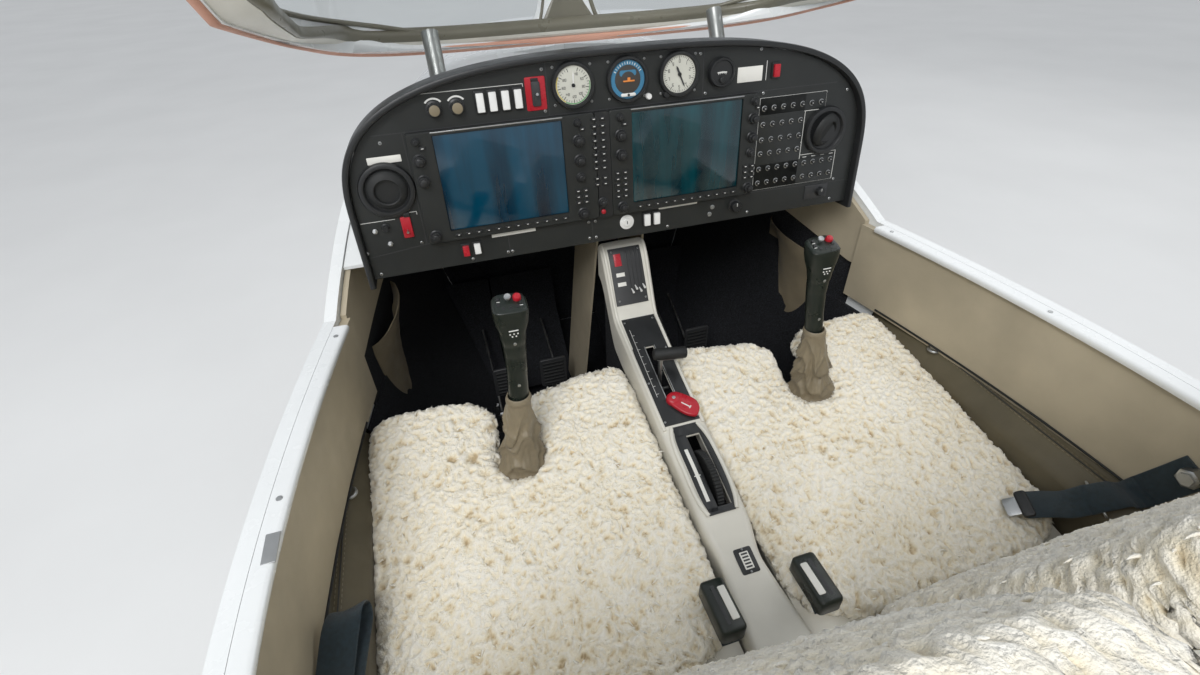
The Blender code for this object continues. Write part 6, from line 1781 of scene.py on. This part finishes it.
def make_belts():
    for side, sign in SIDES:
        bm = piece(side + "_belt_strap", "webbing", instead_of=(side + "_belt",), smooth=50)
        path = curve([(sign * (LEDGE_IN + x), y, LEDGE_Z + z) for x, y, z in BELT_PATH], 60)
        strap(bm, path, 0.0235, 0.0038)
        end = path[-1]
        wall = skin(end.y, end.z, WALL + 0.0185)
        turn = Matrix.Rotation(-sign * pi / 2, 4, "Y")
        bolt = Matrix.Translation((sign * (wall - 0.012), end.y, end.z - 0.012)) @ turn
        lathe(piece("belt_bolts", "metal", smooth=40),
              [(0.015, -0.010), (0.015, 0.004), (0.0125, 0.0056), (0.0105, 0.0056), (0.0100, 0.0080), (0, 0.0080)],
              bolt, 6)
        place = path[27]
        along = (path[28] - path[26]).normalized()
        ring = piece("belt_slides", "metal", smooth=60)
        across = (Vector((0, 1, 0)) - along * along.y).normalized()
        up = across.cross(along)
        loop = [place + across * 0.029 * u + up * (0.0065 * v + 0.001)
                for u, v in ((1, 1), (1, -0.2), (-1, -0.2), (-1, 1))]
        loop = [Vector(p) for p in rounded(loop, 2, 0.22)]
        ring_tube(ring, loop, 0.0017, 10)
        # Latch plate at the strap's free end
        tip = path[0]
        latch = Matrix((across, -along, across.cross(-along))).transposed().to_4x4()
        latch = Matrix.Translation(tip + Vector((0, 0, 0.001))) @ latch
        plate("belt_latches", "metal", 0.030, 0.030, 0.004, (0.0, 0.012), 0.0036, 0.0006, -0.0002, place=latch)
        plate("belt_latch_grips", "black", 0.044, 0.018, 0.005, (0.0, -0.002), 0.0070, 0.002, -0.0010, place=latch)
        # Buckle with its press button
        bm = piece(side + "_buckle_case", "grip", instead_of=(side + "_buckle",), smooth=50)
        along_seat = (BUCKLE_Y - SEAT_AFT) / (SEAT_FRONT_Y - SEAT_AFT)
        base = SEAT_AFT_Z + (SEAT_FRONT_Z - SEAT_AFT_Z) * along_seat + BUCKLE_LIFT
        centre = (sign * BUCKLE_X, BUCKLE_Y - (0.006 if sign > 0 else 0.0))
        pad(bm, rect(BUCKLE_WIDE, 0.080, 0.007, centre),
            [(0.004, base), (0.0, base + 0.005), (0.0, base + 0.0285), (0.0012, base + 0.0315),
             (0.004, base + 0.0335)], Matrix())
        pad(piece("buckle_buttons", "label"), rect(0.011, 0.050, 0.002, (centre[0] - sign * 0.008, centre[1])),
            [(0, base + 0.030), (0, base + 0.0345), (0.0012, base + 0.0352)], Matrix())
        # Dark strip on the buckle's top: painted shade of its slot.
        pad(piece("buckle_slot_shade", "dark"), rect(0.0050, 0.058, 0.0012, (centre[0] + sign * 0.004, centre[1])),
            [(0, base + 0.030), (0, base + 0.0338)], Matrix())
        stalk = [Vector((centre[0], y, z)) for y, z in ((-0.610, base + 0.006), (-0.622, base - 0.004),
                                                        (-0.640, base - 0.012))]
        strap(piece("buckle_stalks", "webbing"), stalk, 0.014, 0.003, Vector((1, 0, 0)))


def make_loop():
    """The left belt's spare webbing, folded on the ledge."""
    path = [
        (-0.583, -0.660, -0.383), (-0.580, -0.610, -0.378), (-0.574, -0.555, -0.368), (-0.565, -0.512, -0.352),
        (-0.557, -0.494, -0.356),
        (-0.556, -0.496, -0.374), (-0.562, -0.530, -0.383), (-0.570, -0.590, -0.386), (-0.578, -0.650, -0.3875),
    ]
    strap(piece("belt_loop", "webbing"), curve(path, 50), 0.0225, 0.0024, Vector((1, 0.25, 0)))


def make_pedals():
    """Pedals with ribbed plates on tubular arms."""
    for side, sign in SIDES:
        for place, x in (("inner", 0.145), ("outer", 0.268)):
            body = side + "_" + place + "_pedal_body"
            x *= sign
            y, z = 0.200, -0.740
            bm = piece(body + "_arm", "metal", body, (side + "_" + place + "_pedal",), 50)
            turn = axle(x, y, z)
            lathe(bm, [(0.0106, -0.022), (0.0160, -0.022), (0.0168, -0.020), (0.0168, 0.020), (0.0160, 0.022),
                       (0.0106, 0.022), (0.0106, -0.022)], turn, 32)
            tube(bm, curve([(x, y, z + 0.014), (x, y + 0.001, z + 0.06), (x, y, z + 0.125)], 12), 0.0068, 16)
            tread = axle(x, y - 0.004, z + 0.120, "X")
            face = piece(body + "_plate", "dark", body, smooth=40)
            pad(face, rect(0.070, 0.088, 0.007), [(0.0008, 0.0), (0.0, 0.0008), (0.0, 0.0062), (0.0010, 0.0072)],
                tread)
            for k in range(7):
                plate(body + "_ribs", "rubber", 0.056, 0.0052, 0.0016, (0, -0.033 + 0.011 * k), 0.0105, 0.0012, 0.006,
                      place=tread, body=body)
        # Rudder cables behind the pedals
        for x in (0.118, 0.242, 0.296):
            path = curve([(sign * x, 0.226, -0.752), (sign * x, 0.330, -0.700), (sign * (x + 0.004), 0.470, -0.640)],
                         14)
            tube(piece("pedal_rods", "metal", smooth=60), path, 0.0035, 10)


# The other pieces keep the model's own form and take a material here

NODE_PAINTS = {
    "gelcoat": ("deck_shelf",),
    "metal": ("saddle_plate", "stick_torque_tube", "left_pedal_mount", "right_pedal_mount", "firewall"),
    "cream": ("seat_bulkhead", "left_seat_shell", "right_seat_shell"),
    "beige": ("left_side_panel", "right_side_panel"),
    "carpet": ("cabin_floor", "spar_box", "left_lower_panel", "right_lower_panel"),
    "black": ("audio_unit",),
}


def paint_nodes():
    for paint, names in NODE_PAINTS.items():
        for name in names:
            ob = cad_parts[name]
            ob.data.materials.clear()
            ob.data.materials.append(PAINTS[paint])


# Floor and light


def make_stage():
    mesh = bpy.data.meshes.new("floor")
    size, level = 30.0, -0.0005
    corners = [(x * size, y * size, level) for x, y in ((-1, -1), (1, -1), (1, 1), (-1, 1))]
    mesh.from_pydata(corners, [], [(0, 1, 2, 3)])
    floor = bpy.data.objects.new("floor", mesh)
    bpy.context.scene.collection.objects.link(floor)
    ground = Paint("floor", (0.78, 0.78, 0.77), 0.8)
    ground.vary(1.5, 0.97, 1.02)
    mesh.materials.append(ground.material)
    world = bpy.data.worlds.new("world")
    bpy.context.scene.world = world
    world.use_nodes = True
    world.node_tree.nodes["Background"].inputs["Color"].default_value = (0.93, 0.96, 1.0, 1)
    world.node_tree.nodes["Background"].inputs["Strength"].default_value = 0.66
    for name, power, size, place, aim in (
        ("key", 120, 1.9, (-1.6, -2.4, 3.8), (0, 0.0, 0.5)), ("fill", 35, 4.0, (3.0, 1.5, 3.6), (0, 0.2, 0.6)),
    ):
        data = bpy.data.lights.new(name, "AREA")
        data.energy = power
        data.size = size
        lamp = bpy.data.objects.new(name, data)
        lamp.location = place
        lamp.rotation_euler = (Vector(aim) - Vector(place)).to_track_quat("-Z", "Y").to_euler()
        bpy.context.scene.collection.objects.link(lamp)
    bpy.context.scene.view_settings.view_transform = "Standard"


make_camera()
paint_nodes()
make_hull()
make_ledges()
make_panel()
for place_name in DISPLAYS:
    make_display(place_name)
make_controls()
make_dials()
make_vents()
make_breakers()
make_switches()
make_console()
make_lever()
make_wheel()
make_selector()
make_sticks()
make_boots()
make_canopy()
make_arms()
make_belts()
make_loop()
make_pedals()
make_fleeces()
for made_name, made in PIECES.items():
    finish_piece(made_name, made["bm"], made["paint"], made["body"], made["nodes"], made["smooth"])
make_stage()
bpy.context.view_layer.update()
